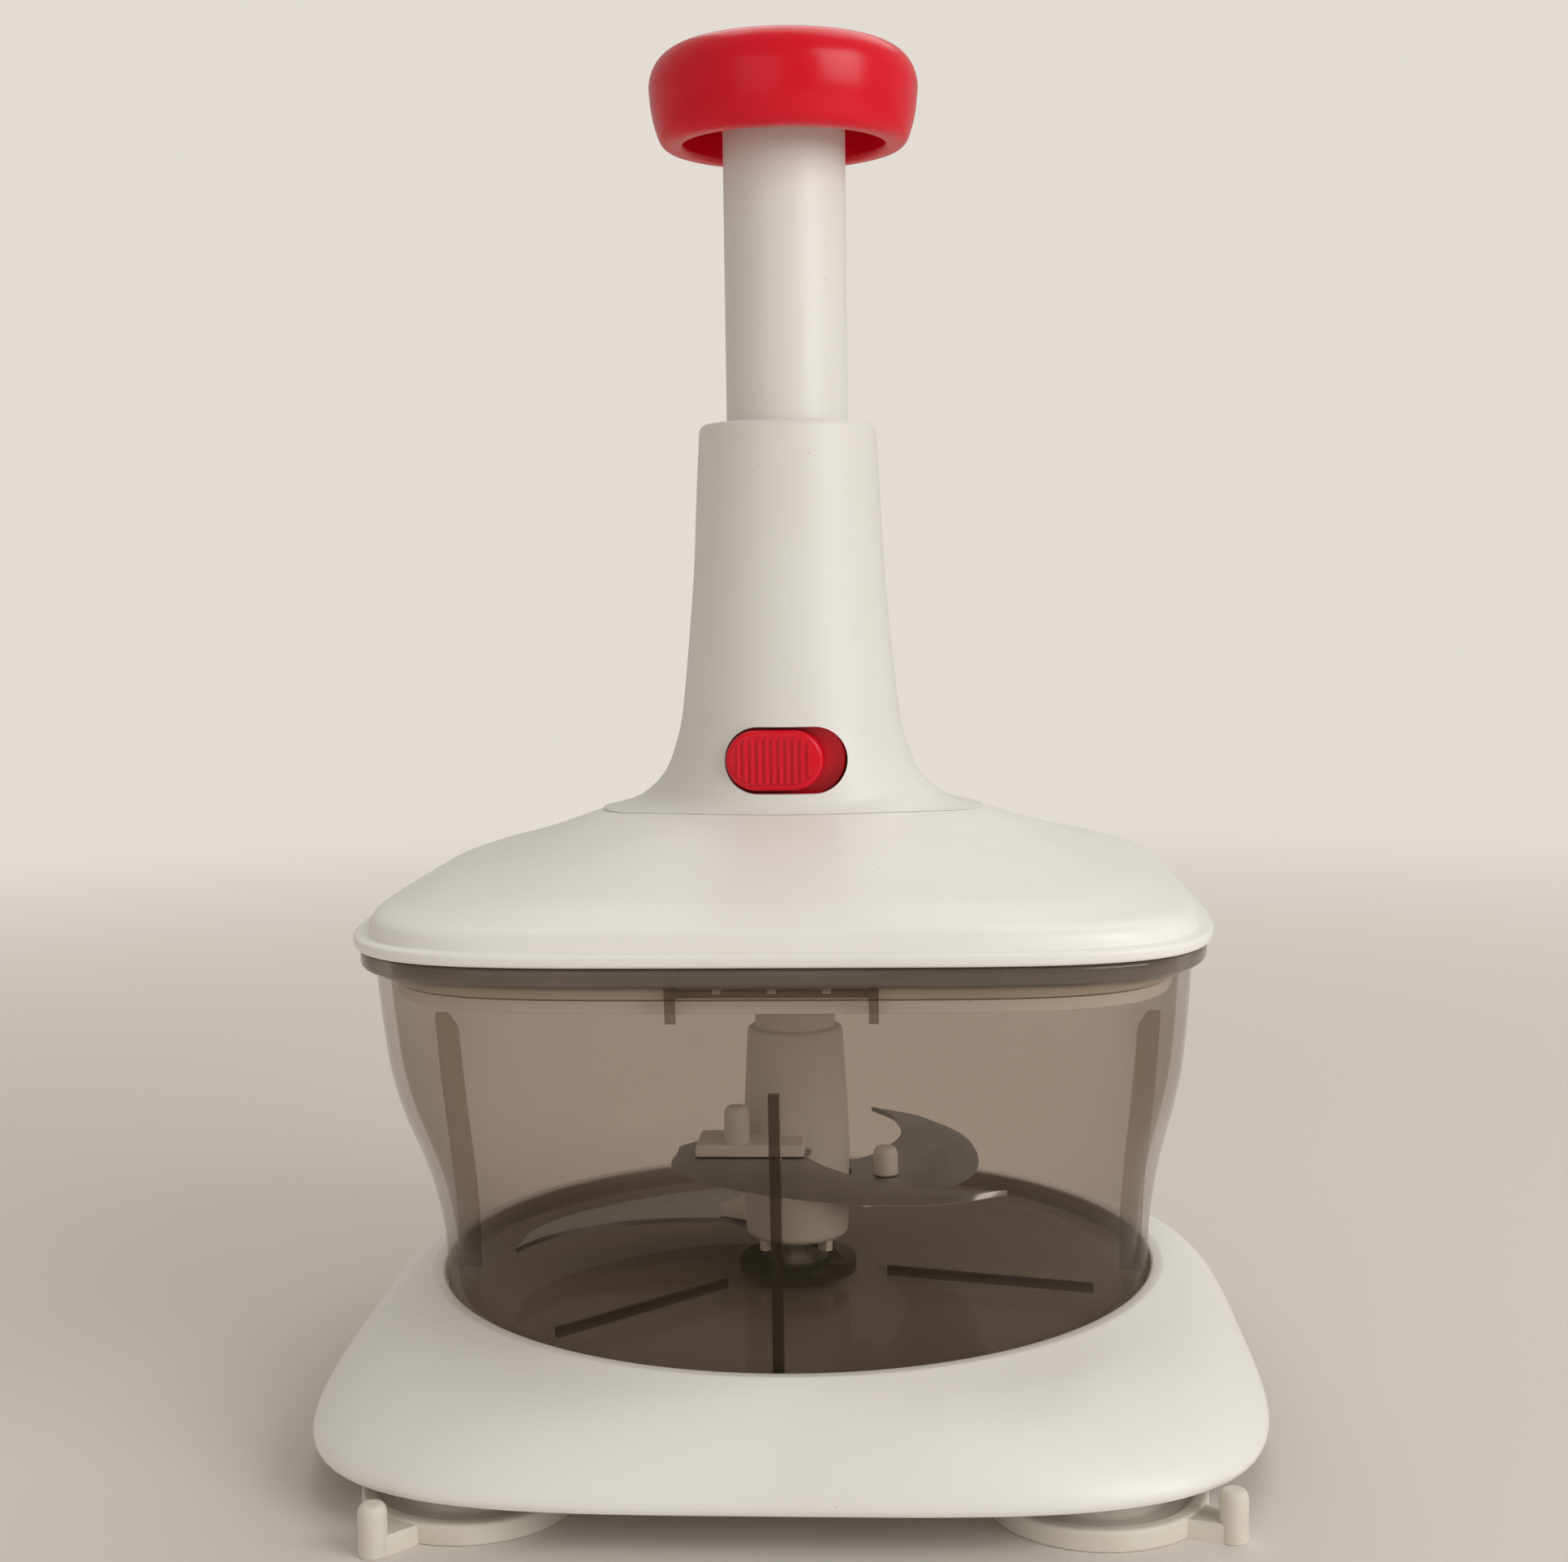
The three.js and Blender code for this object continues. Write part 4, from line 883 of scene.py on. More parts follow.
@dataclass
class SuctionCup:
    """One suction cup with its release tab."""

    radius: float = 19.5
    rim_height: float = 3.8
    rim_wall: float = 2.6
    hollow: float = 2.4
    hollow_share: float = 0.8
    slope_share: float = 0.86
    channel: float = 0.9
    dome_radius: float = 12.5
    shoulder: float = 10.3
    neck_radius: float = 4.4
    tab_width: float = 4.4
    tab_height: float = 3.4
    tab_reach: float = 6.4
    peg_radius: float = 2.5
    peg_height: float = 9.0
    turns: dict[str, float] = field(default_factory=lambda: {
        "front_left": 241.0, "front_right": 328.0, "rear_right": 45.0, "rear_left": 135.0})

    def section(self) -> list[Point]:
        """Gives the corners of the cup's section from the hollow underneath to the neck.

        Returns:
            The corners with their roundings.
        """
        inner = self.radius - self.rim_wall
        top = self.rim_height - self.channel
        neck, crest = self.neck_radius, self.shoulder + self.rim_wall
        return [
            (0.0, self.hollow, 0.0),
            (self.dome_radius, self.hollow * self.hollow_share, 4.0), (inner, 0.0, 0.6),
            (self.radius, 0.0, 0.5), (self.radius, self.rim_height, 0.9),
            (inner, self.rim_height, 0.6), (inner - self.channel, top, 0.7),
            (self.dome_radius, top, 0.7),
            (self.dome_radius * self.slope_share, mix(top, self.shoulder, 0.5), 2.0),
            (neck + self.channel, self.shoulder, 1.5), (neck, self.shoulder, 0.3),
            (neck, crest, 0.0), (0.0, crest, 0.0)]

    def cup(self) -> Skin:
        """Makes a cup with its tab and peg.

        Returns:
            The cup's skin, before it is turned to its place.
        """
        start, end = self.radius - self.rim_wall, self.radius + self.tab_reach
        half, tip = self.tab_width / 2, self.peg_height
        ear = rounded([(start, -2 * half, 0.5), (end, -half, 0.5), (end, half, 0.5),
                       (start, 2 * half, 0.5)], 4, closed=True)
        peg = [(0.0, 0.0, 0.0), (self.peg_radius, 0.0, 0.3), (self.peg_radius, tip, 2.2),
               (0.0, tip, 0.0)]
        made = Skin().lathe(self.section(), 5, TUBE_SIDES)
        made.plus(Skin().extrude(ear, 0.0, self.tab_height, 0.5))
        return made.plus(Skin().lathe(peg, 6, 40).shifted(end))

    def dress(self, base: SuctionBase) -> None:
        """Puts a cup under each corner of the base.

        Args:
            base: the base that carries them.
        """
        for name, (x, y) in base.cup_places().items():
            made = self.cup().turned(self.turns[name]).shifted(x, y)
            Piece.build(f"cup_{name}", "base", made).dress(CREAM_RUBBER, f"suction_cup_{name}")


# Bowl


@dataclass
class Bowl:
    """The smoky bowl: round at the foot, square at the mouth, with its ribs and gussets."""

    mouth: float = 75.2
    foot: float = BOWL_FOOT
    wall: float = 2.1
    floor: float = 2.4
    squareness: float = 5.0
    rim_height: float = 2.7
    rim_taper: float = 1.6
    rib_drop: float = 22.4
    rib_thickness: float = 1.9
    rib_depth: float = 3.2
    rib_top_depth: float = 1.3
    rib_stretches: int = 12
    floor_rib_inner: float = 19.0
    floor_rib_outer: float = 61.0
    floor_rib_size: float = 0.8
    floor_rib_turns: tuple[float, ...] = (-15.0, 105.0, 225.0)
    socket_radius: float = 12.0
    socket_inner: float = 6.7
    socket_height: float = 1.6
    foot_fillet: float = 1.7
    gusset_across: float = 17.2
    gusset_thickness: float = 1.7
    gusset_height: float = 7.0
    ledge_drop: float = 2.4
    ledge_height: float = 1.2
    notch_width: float = 1.5
    notch_height: float = 0.9
    notch_across: float = 9.3
    level_shares: tuple[Point, ...] = (
        (0.045, 0.0, 0.0), (0.16, 0.04, 0.0), (0.27, 0.18, 0.05), (0.38, 0.38, 0.14),
        (0.48, 0.56, 0.29), (0.58, 0.72, 0.5), (0.69, 0.85, 0.72), (0.81, 0.93, 0.88),
        (0.93, 1.0, 1.0))

    def __post_init__(self) -> None:
        """Reads the bowl's heights and rim from the frame."""
        self.low, self.top = extent("bowl", Axis.Z)
        self.rim_half = extent("bowl", Axis.X)[1]
        self.rim_under = self.top - self.rim_height
        self.floor_top = self.low + self.floor

    def levels(self, inset: float, low: float) -> list[Point]:
        """Gives the wall's rings from the foot up.

        Args:
            inset: how far they are moved inwards.
            low: the height that the wall stands on.

        Returns:
            The rings, as a loft takes them.
        """
        height, least = self.top - self.low, low + self.foot_fillet * 2
        return flow([level(mix(self.foot, self.mouth, out) - inset,
                           max(self.low + height * up, least), mix(CIRCLE, self.squareness, square))
                     for up, out, square in self.level_shares])

    def front(self, z: float) -> float:
        """Gives the outer half width of the flat front.

        Args:
            z: the height where it is measured.

        Returns:
            The half width there.
        """
        rings = self.levels(0.0, self.low)
        for (near, low, *_), (far, high, *_) in zip(rings, rings[1:]):
            if low <= z <= high:
                return mix(near, far, (z - low) / (high - low))
        return rings[0][0] if z < rings[0][1] else rings[-1][0]

    def shell(self) -> Skin:
        """Lofts the outer wall, the rim, the inner wall and the floor.

        Returns:
            The bowl's skin.
        """
        square, half, under = self.squareness, self.rim_half, self.rim_under
        outer, inner = self.levels(0.0, self.low), self.levels(self.wall, self.floor_top)
        foot = rounded([(*level(0.0, self.low), 0.0),
                        (*level(self.foot, self.low), self.foot_fillet), (*outer[0], 0.0)], 5)
        rim = rounded([
            (*outer[-1], 0.0), (*level(self.mouth, under - self.rim_taper, square), 0.5),
            (*level(half, under, square), 0.5), (*level(half, self.top, square), 0.6),
            (*level(inner[-1][0], self.top, square), 0.5), (*inner[-1], 0.0)], 3)
        base = rounded([(*inner[0], 0.0), (*level(inner[0][0], self.floor_top), self.foot_fillet),
                        (*level(0.0, self.floor_top), 0.0)], 5)
        return Skin().loft(foot[:-1] + outer[:-1] + rim[:-1] + inner[:0:-1] + base)

    def wall_line(self, high: float, inset: float) -> list[Point]:
        """Follows the flat front up from inside the floor.

        Args:
            high: the height where the line ends.
            inset: how far it runs inside the outer wall.

        Returns:
            The line's points.
        """
        start = self.low + self.floor / 2
        heights = [mix(start, high, i / self.rib_stretches) for i in range(self.rib_stretches + 1)]
        return [(self.front(z) - inset, z) for z in heights]

    def wall_ribs(self) -> list[Skin]:
        """Gives the four upright ribs inside the wall.

        Returns:
            The right, rear, left and front rib.
        """
        top = self.top - self.rib_drop
        back = self.wall_line(top, self.wall / 2)
        edge = self.wall_line(top - self.rib_depth, self.wall + self.rib_depth)[::-1]
        crest = rounded([
            (*back[-1], 0.0), (self.front(top) - self.wall - self.rib_top_depth, top, 0.6),
            (*edge[0], 1.0), (*edge[1], 0.0)], 4)
        outline = back[:-1] + crest[:-1] + edge[1:]
        half = self.rib_thickness / 2
        ribs = [Skin().extrude(outline, -half, half) for _ in QUARTERS]
        return [rib.moved(lambda p: (p[0], p[2], p[1])).turned(turn)
                for rib, turn in zip(ribs, QUARTERS)]

    def floor_ribs(self) -> list[Skin]:
        """Gives the three low ribs on the floor.

        Returns:
            The ribs' skins.
        """
        half, low = self.floor_rib_size / 2, self.floor_top - self.floor / 2
        return [block((self.floor_rib_inner, -half, low),
                      (self.floor_rib_outer, half, self.floor_top + self.floor_rib_size),
                      0.2).turned(turn) for turn in self.floor_rib_turns]

    def socket_ring(self) -> Skin:
        """Gives the raised ring round the pin on the floor.

        Returns:
            The ring's skin.
        """
        low, high = self.floor_top - self.floor / 2, self.floor_top + self.socket_height
        return Skin().lathe([
            (self.socket_inner, low, 0.0), (self.socket_radius, low, 0.0),
            (self.socket_radius, high, 0.8), (self.socket_inner, high, 0.3)], 4, 64, closed=True)

    def rim_gussets(self) -> list[Skin]:
        """Gives the gussets and the notched ledge under the rim.

        Returns:
            Their parts at the back, and then those at the front.
        """
        low = self.rim_under - self.gusset_height
        back = self.front(low) - self.wall / 2
        half = self.gusset_thickness / 2
        deep, across = self.mouth + half, self.gusset_across
        outline = rounded([(back, self.rim_under, 0.3), (self.rim_half - half, self.rim_under, 0.3),
                           (self.mouth + half / 2, low, 0.3), (back, low, 0.3)], 2, closed=True)
        parts = []
        for x in (-across, across):
            web = Skin().extrude(outline, -half, half)
            parts.append(web.moved(lambda p, x=x: (p[2] + x, p[0], p[1])))
        ledge = self.rim_under - self.ledge_drop
        notches = [x + side * self.notch_width / 2
                   for x in (-self.notch_across, 0.0, self.notch_across) for side in (-1, 1)]
        stops = [-across, *notches, across]
        for start, end in zip(stops[::2], stops[1::2]):
            parts.append(block((start, back, ledge), (end, deep, ledge + self.ledge_height), 0.15))
        shelf = ledge + self.ledge_height - self.notch_height
        parts.append(block((-across, back, ledge), (across, deep, shelf), 0.1))
        rear = [Skin(list(part.points), list(part.faces)) for part in parts]
        return rear + [part.turned(180) for part in parts]

    def dress(self) -> None:
        """Puts the bowl, its ribs and its gussets on their body."""
        Piece.build("smoky_bowl", "bowl", self.shell()).dress(SMOKE, "bowl")
        ends = (("right", THIN_SMOKE), ("rear", THICK_SMOKE), ("left", THIN_SMOKE),
                ("front", THICK_SMOKE))
        for (name, finish), rib in zip(ends, self.wall_ribs()):
            Piece.build(f"bowl_rib_{name}", "bowl", rib).dress(finish)
        ring = Piece.build("bowl_floor_ribs", "bowl", self.socket_ring())
        ring.shape(Join.ADD, self.floor_ribs()).dress(THICK_SMOKE)
        first, *others = self.rim_gussets()
        Piece.build("bowl_gussets", "bowl", first).shape(Join.ADD, others).dress(MEDIUM_SMOKE)


# Blade set


@dataclass
class BladeSet:
    """The white shaft with its arms and pegs, and the three sickle blades."""

    foot_radius: float = 10.4
    waist_radius: float = 10.9
    waist_rise: float = 19.2
    shoulder_radius: float = 9.6
    neck_radius: float = 8.1
    neck_height: float = 10.5
    chamfer: float = 0.8
    tooth_height: float = 2.0
    tooth_width: float = 1.7
    tooth_depth: float = 2.6
    tooth_turn: float = 45.0
    socket_flats: float = 10.1
    socket_depth: float = 13.3
    socket_past: float = 2.0
    socket_turn: float = 30.0
    bore_radius: float = 3.45
    bore_run: float = 4.0
    arm_left: float = 19.0
    arm_right: float = 2.4
    arm_front: float = 18.0
    arm_thickness: float = 2.2
    peg_x: float = -11.0
    peg_y: float = -14.6
    peg_radius: float = 2.5
    peg_height: float = 7.2
    rivet_radius: float = 1.5
    rivet_gap: float = 0.15
    rivet_hole_top: float = 80.0
    rivet_tail: float = 1.0
    rivet_head: float = 2.9
    rivet_head_height: float = 1.1
    blade_reach: float = 55.0
    blade_thickness: float = 1.0
    blade_gap: float = 0.3
    grind: float = 2.6
    grind_fade: float = 4.0
    seat_start: float = 288.0
    seat_end: float = 172.0
    seat_steps: int = 8
    lip_share: float = 0.12
    turn: float = 120.0
    names: tuple[str, ...] = ("upper", "middle", "lower")
    over_deck: tuple[str, ...] = ("middle",)
    cutting_shares: tuple[Point, ...] = (
        (-0.42, -0.16), (-0.43, -0.34), (-0.36, -0.51), (-0.21, -0.66), (0.03, -0.79),
        (0.27, -0.86), (0.52, -0.85), (0.745, -0.733))
    spine_shares: tuple[Point, ...] = (
        (0.745, -0.733), (0.57, -0.735), (0.39, -0.67), (0.24, -0.57), (0.1, -0.4), (0.04, -0.27))
    root_share: Point = (-0.26, 0.05)

    def __post_init__(self) -> None:
        """Reads the heights of the shaft and the blades from the frame."""
        low, self.top = extent("blade_shaft", Axis.Z)
        self.low = low + self.tooth_height
        self.heights = {name: extent(f"blade_{name}", Axis.Z)[0] for name in self.names}

    def shaft_skin(self) -> Skin:
        """Turns the shaft's outline.

        Returns:
            The shaft's skin.
        """
        neck = self.top - self.neck_height
        waist = self.low + self.waist_rise
        return Skin().lathe([
            (0.0, self.low, 0.0), (self.foot_radius - self.chamfer, self.low, 0.3),
            (self.foot_radius, self.low + self.chamfer, 0.8), (self.waist_radius, waist, 6.0),
            (mix(self.waist_radius, self.shoulder_radius, 0.5), mix(waist, neck, 0.5), 6.0),
            (self.shoulder_radius, neck, 1.2), (self.neck_radius, neck, 0.4),
            (self.neck_radius, self.top, 0.5), (0.0, self.top, 0.0)], 5, TUBE_SIDES)

    def arm_skins(self, index: int, name: str) -> list[Skin]:
        """Gives one arm: its deck over or under the blade's root, its peg and its rivet.

        Args:
            index: how many turns it stands from the first arm.
            name: the name of its blade.

        Returns:
            The three parts, turned to their place.
        """
        under = self.heights[name] - self.blade_gap
        over = self.heights[name] + self.blade_thickness + self.blade_gap
        on_top = name in self.over_deck
        low = under - self.arm_thickness if on_top else over
        high = low + self.arm_thickness
        deck = block((-self.arm_left, -self.arm_front, low),
                     (self.arm_right, -self.foot_radius / 2, high), 0.5)
        root, tip = (over if on_top else low), high + self.peg_height
        peg = Skin().lathe([(0.0, root, 0.0), (self.peg_radius, root, 0.0),
                            (self.peg_radius, tip, 2.3), (0.0, tip, 0.0)], 6, 40)
        foot, end = (low + self.arm_thickness / 2 if on_top else under), over + self.rivet_tail
        corners = [(0.0, foot, 0.0), (self.rivet_radius, foot, 0.0), (self.rivet_radius, end, 0.0),
                   (0.0, end, 0.0)]
        if not on_top:
            base = under - self.rivet_head_height
            corners[:1] = [(0.0, base, 0.0), (self.rivet_head, base, 0.5),
                           (self.rivet_head, under, 0.1)]
        rivet = Skin().lathe(corners, 4, SMALL_SIDES)
        return [deck.turned(self.turn * index)] + [
            part.shifted(self.peg_x, self.peg_y).turned(self.turn * index) for part in (peg, rivet)]

    def tooth_skins(self) -> list[Skin]:
        """Gives the four teeth under the shaft.

        Returns:
            The teeth's skins.
        """
        outer, half, rise = self.foot_radius - self.chamfer, self.tooth_width / 2, self.tooth_height
        return [block((outer - self.tooth_depth, -half, self.low - rise),
                      (outer, half, self.low + rise), 0.2).turned(self.tooth_turn + turn)
                for turn in QUARTERS]

    def blade_skin(self, low: float) -> Skin:
        """Makes one sickle blade with its ground edge.

        Args:
            low: the height of its underside.

        Returns:
            The blade's skin, before it is turned to its place.
        """
        reach = self.blade_reach
        edge, spine = (flow([(x * reach, y * reach) for x, y in shares], steps)
                       for shares, steps in ((self.cutting_shares, 8), (self.spine_shares, 6)))
        collar = self.waist_radius + self.blade_gap
        angles = [math.radians(mix(self.seat_start, self.seat_end, i / self.seat_steps))
                  for i in range(self.seat_steps + 1)]
        seat = [(collar * math.cos(angle), collar * math.sin(angle)) for angle in angles]
        rest = spine[1:] + seat + [tuple(share * reach for share in self.root_share)]
        last = len(edge) - 1
        ground = []
        for i, (x, y) in enumerate(edge):
            ahead, behind = edge[min(i + 1, last)], edge[max(i - 1, 0)]
            along = Vector((ahead[0] - behind[0], ahead[1] - behind[1])).normalized()
            fade = min(1.0, self.grind_fade * (1 - i / last), self.grind_fade * i / last)
            ground.append((x - along.y * self.grind * fade, y + along.x * self.grind * fade))
        skin = Skin()
        rings = [skin.add_ring([(*p, low + self.blade_thickness * share) for p in outline + rest])
                 for outline, share in ((edge, 0.0), (edge, self.lip_share), (ground, 1.0))]
        return skin.bridge(*rings).cap(rings[0], rings[-1])

    def shaft(self) -> Piece:
        """Joins the shaft with its teeth and arms, and cuts its socket and bore.

        Returns:
            The shaft.
        """
        parts = self.tooth_skins()
        for index, name in enumerate(self.names):
            parts += self.arm_skins(index, name)
        corner = self.socket_flats / 2 / math.cos(math.pi / 6)
        socket = Skin().rod(corner, self.top - self.socket_depth, self.top + self.socket_past, 6)
        bore_top = extent("bowl_pin", Axis.Z)[1] + self.blade_gap
        bore = Skin().rod(self.bore_radius, self.low - self.bore_run, bore_top, 48)
        piece = Piece.build("drive_shaft_white", "blades", self.shaft_skin())
        return piece.shape(Join.ADD, parts).shape(
            Join.TAKE, [socket.turned(self.socket_turn), bore])

    def blade(self, index: int, name: str) -> Piece:
        """Makes one blade with the hole for its rivet.

        Args:
            index: how many turns it stands from the first blade.
            name: its name.

        Returns:
            The blade.
        """
        skin = self.blade_skin(self.heights[name]).turned(self.turn * index)
        hole = Skin().rod(self.rivet_radius + self.rivet_gap, 0.0, self.rivet_hole_top, SMALL_SIDES)
        hole.shifted(self.peg_x, self.peg_y).turned(self.turn * index)
        return Piece.build(f"sickle_{name}", "blades", skin).shape(Join.TAKE, [hole])

    def dress(self) -> None:
        """Puts the shaft and the blades on their body."""
        self.shaft().dress(SHAFT_WHITE, "blade_shaft")
        for index, name in enumerate(self.names):
            self.blade(index, name).dress(BLADE_STEEL, f"blade_{name}")


# Lid


@dataclass
class Lid:
    """The domed cover with its brim, the grooved inner cover and the seal."""

    brim: float = 2.6
    brim_slope: float = 0.4
    flange_height: float = 2.3
    wall: float = 2.0
    rim_wall: float = 4.6
    squareness: float = 5.0
    foot_x: float = 38.0
    foot_y: float = 30.0
    hole_radius: float = 16.2
    inner_lip: float = 0.9
    plate: float = 1.8
    skirt_wall: float = 1.8
    seal_rise: float = 2.6
    seal_height: float = 3.4
    seal_thickness: float = 1.5
    gap: float = 0.3
    hub_radius: float = 8.6
    hub_height: float = 5.0
    bore_radius: float = 5.15
    screw_across: float = 50.0
    cut_past: float = 1.0
    mouth_margin: float = 1.0
    seal_ease: float = 0.4
    screw_hole: float = 1.65
    screw_head: float = 3.3
    screw_head_height: float = 2.0
    screw_shank: float = 1.5
    recess_half: float = 1.9
    recess_slot: float = 0.45
    recess_depth: float = 1.2
    dome_shares: tuple[Point, ...] = (
        (0.0, 1.0, 1.0, 0.0), (0.12, 0.995, 1.0, 0.0), (0.2, 0.978, 0.95, 0.0),
        (0.28, 0.93, 0.85, 0.02), (0.38, 0.87, 0.72, 0.06), (0.49, 0.79, 0.55, 0.15),
        (0.65, 0.68, 0.38, 0.35), (0.82, 0.575, 0.2, 0.65), (0.94, 0.5, 0.06, 0.9),
        (1.0, 0.43, 0.0, 1.0))

    def __post_init__(self) -> None:
        """Reads the lid's outer sizes from the frame."""
        self.half = extent("lid_cover", Axis.X)[1]
        self.low, self.top = extent("lid_cover", Axis.Z)
        self.flange_top = self.low + self.flange_height
        self.dome_half = self.half - self.brim
        self.inner_low, self.inner_top = extent("lid_inner_cover", Axis.Z)
        self.skirt_half = extent("lid_inner_cover", Axis.X)[1] - self.inner_lip

    def dome(self, inset: float) -> list[Point]:
        """Gives the dome's rings from the brim up.

        Args:
            inset: how far they are moved inwards.

        Returns:
            The rings, as a loft takes them.
        """
        rings = []
        for up, out, square, oval in self.dome_shares:
            half = self.dome_half * out - inset
            rings.append((half, mix(self.flange_top, self.top, up) - inset,
                          mix(CIRCLE, self.squareness, square),
                          half * mix(1.0, self.foot_y / self.foot_x, oval)))
        return flow(rings)

    def cover(self) -> Piece:
        """Lofts the cover: brim, dome, hole and inside.

        Returns:
            The cover.
        """
        square, hole = self.squareness, self.hole_radius
        mouth = self.dome_half - self.rim_wall
        outside = self.dome(0.0)
        inside = [ring for ring in self.dome(self.wall)
                  if ring[1] > self.flange_top + self.wall and ring[0] < mouth - self.mouth_margin]
        brim = rounded([
            (*level(mouth, self.low, square), 0.0),
            (*level(self.half - self.brim_slope, self.low, square), 0.7),
            (*level(self.half, self.flange_top, square), 0.9),
            (*level(self.dome_half, self.flange_top, square), 0.5), (*outside[1], 0.0)])
        rings = [*brim, *outside[2:], level(hole, self.top), level(hole, self.top - self.wall),
                 *reversed(inside), level(mouth, self.flange_top, square)]
        return Piece.build("domed_cover", "lid", Skin().loft(rings, closed=True))

    def inner(self) -> Piece:
        """Lofts the inner cover, plate, grooved skirt and hub, and cuts its screw holes.

        Returns:
            The inner cover.
        """
        groove = self.inner_low + self.seal_rise - self.gap
        groove_top = groove + self.seal_height + 2 * self.gap
        deep, top = self.skirt_half, self.inner_top
        out, wall = deep + self.inner_lip, deep - self.skirt_wall
        plate_low = top - self.plate
        hub_low = plate_low - self.hub_height
        skirt = ((out, top, 0.4), (out, groove_top, 0.2), (deep, groove_top, 0.2),
                 (deep, groove, 0.2), (out, groove, 0.2), (out, self.inner_low, 0.4),
                 (wall, self.inner_low, 0.4), (wall, plate_low, 1.0))
        hub = ((self.hub_radius, plate_low, 0.8), (self.hub_radius, hub_low, 0.5),
               (self.bore_radius, hub_low, 0.3))
        corners = [(*level(self.bore_radius, top), 0.0)]
        corners += [(*level(half, z, self.squareness), radius) for half, z, radius in skirt]
        corners += [(*level(half, z), radius) for half, z, radius in hub]
        place = self.screw_across
        holes = [Skin().rod(self.screw_hole, self.inner_low, self.low + self.cut_past, 24).shifted(
            x * place, y * place) for x, y in ((-1, -1), (1, -1), (1, 1), (-1, 1))]
        skin = Skin().lathe(corners, 3, LARGE_SIDES, closed=True)
        return Piece.build("grooved_inner_cover", "lid", skin).shape(Join.TAKE, holes)

    def seal(self) -> Piece:
        """Lofts the seal in its groove.

        Returns:
            The seal.
        """
        low, high = extent("lid_seal", Axis.Z)
        near = self.skirt_half + self.gap
        far = near + self.seal_thickness
        eased = far - self.seal_ease
        ring = ((near, low), (eased, low), (far, mix(low, high, 0.5)), (eased, high), (near, high))
        corners = [(*level(half, z, self.squareness), 0.3) for half, z in ring]
        return Piece.build("lid_gasket", "lid", Skin().lathe(corners, 3, LARGE_SIDES, closed=True))

    def screw(self, index: int) -> Piece:
        """Makes one screw with a rounded head and a cross recess under the inner cover.

        Args:
            index: the screw's number.

        Returns:
            The screw.
        """
        node = f"inner_cover_screw_{index}"
        low, high = extent(node, Axis.Z)
        x, y = (mix(*extent(node, axis), 0.5) for axis in (Axis.X, Axis.Y))
        head, shank, neck = self.screw_head, self.screw_shank, low + self.screw_head_height
        skin = Skin().lathe([
            (0.0, low, 0.0), (head, low, 1.3), (head, neck, 0.2), (shank, neck, 0.1),
            (shank, high - shank, 0.2), (0.0, high, 0.0)], 4, SMALL_SIDES)
        arms = ((self.recess_half, self.recess_slot), (self.recess_slot, self.recess_half))
        start, end = low - self.cut_past, low + self.recess_depth
        cross = [block((-wide, -deep, start), (wide, deep, end), 0.05).shifted(x, y)
                 for wide, deep in arms]
        piece = Piece.build(f"cover_screw_{index}", "lid", skin.shifted(x, y))
        return piece.shape(Join.TAKE, cross)

    def dress(self) -> None:
        """Puts the lid's pieces on their body."""
        self.cover().dress(GLOSS_WHITE, "lid_cover")
        self.inner().dress(GLOSS_WHITE, "lid_inner_cover")
        self.seal().dress(CREAM_RUBBER, "lid_seal")
        for index in (1, 2, 3, 4):
            self.screw(index).dress(PLAIN_STEEL, f"inner_cover_screw_{index}")


# Tower and lock


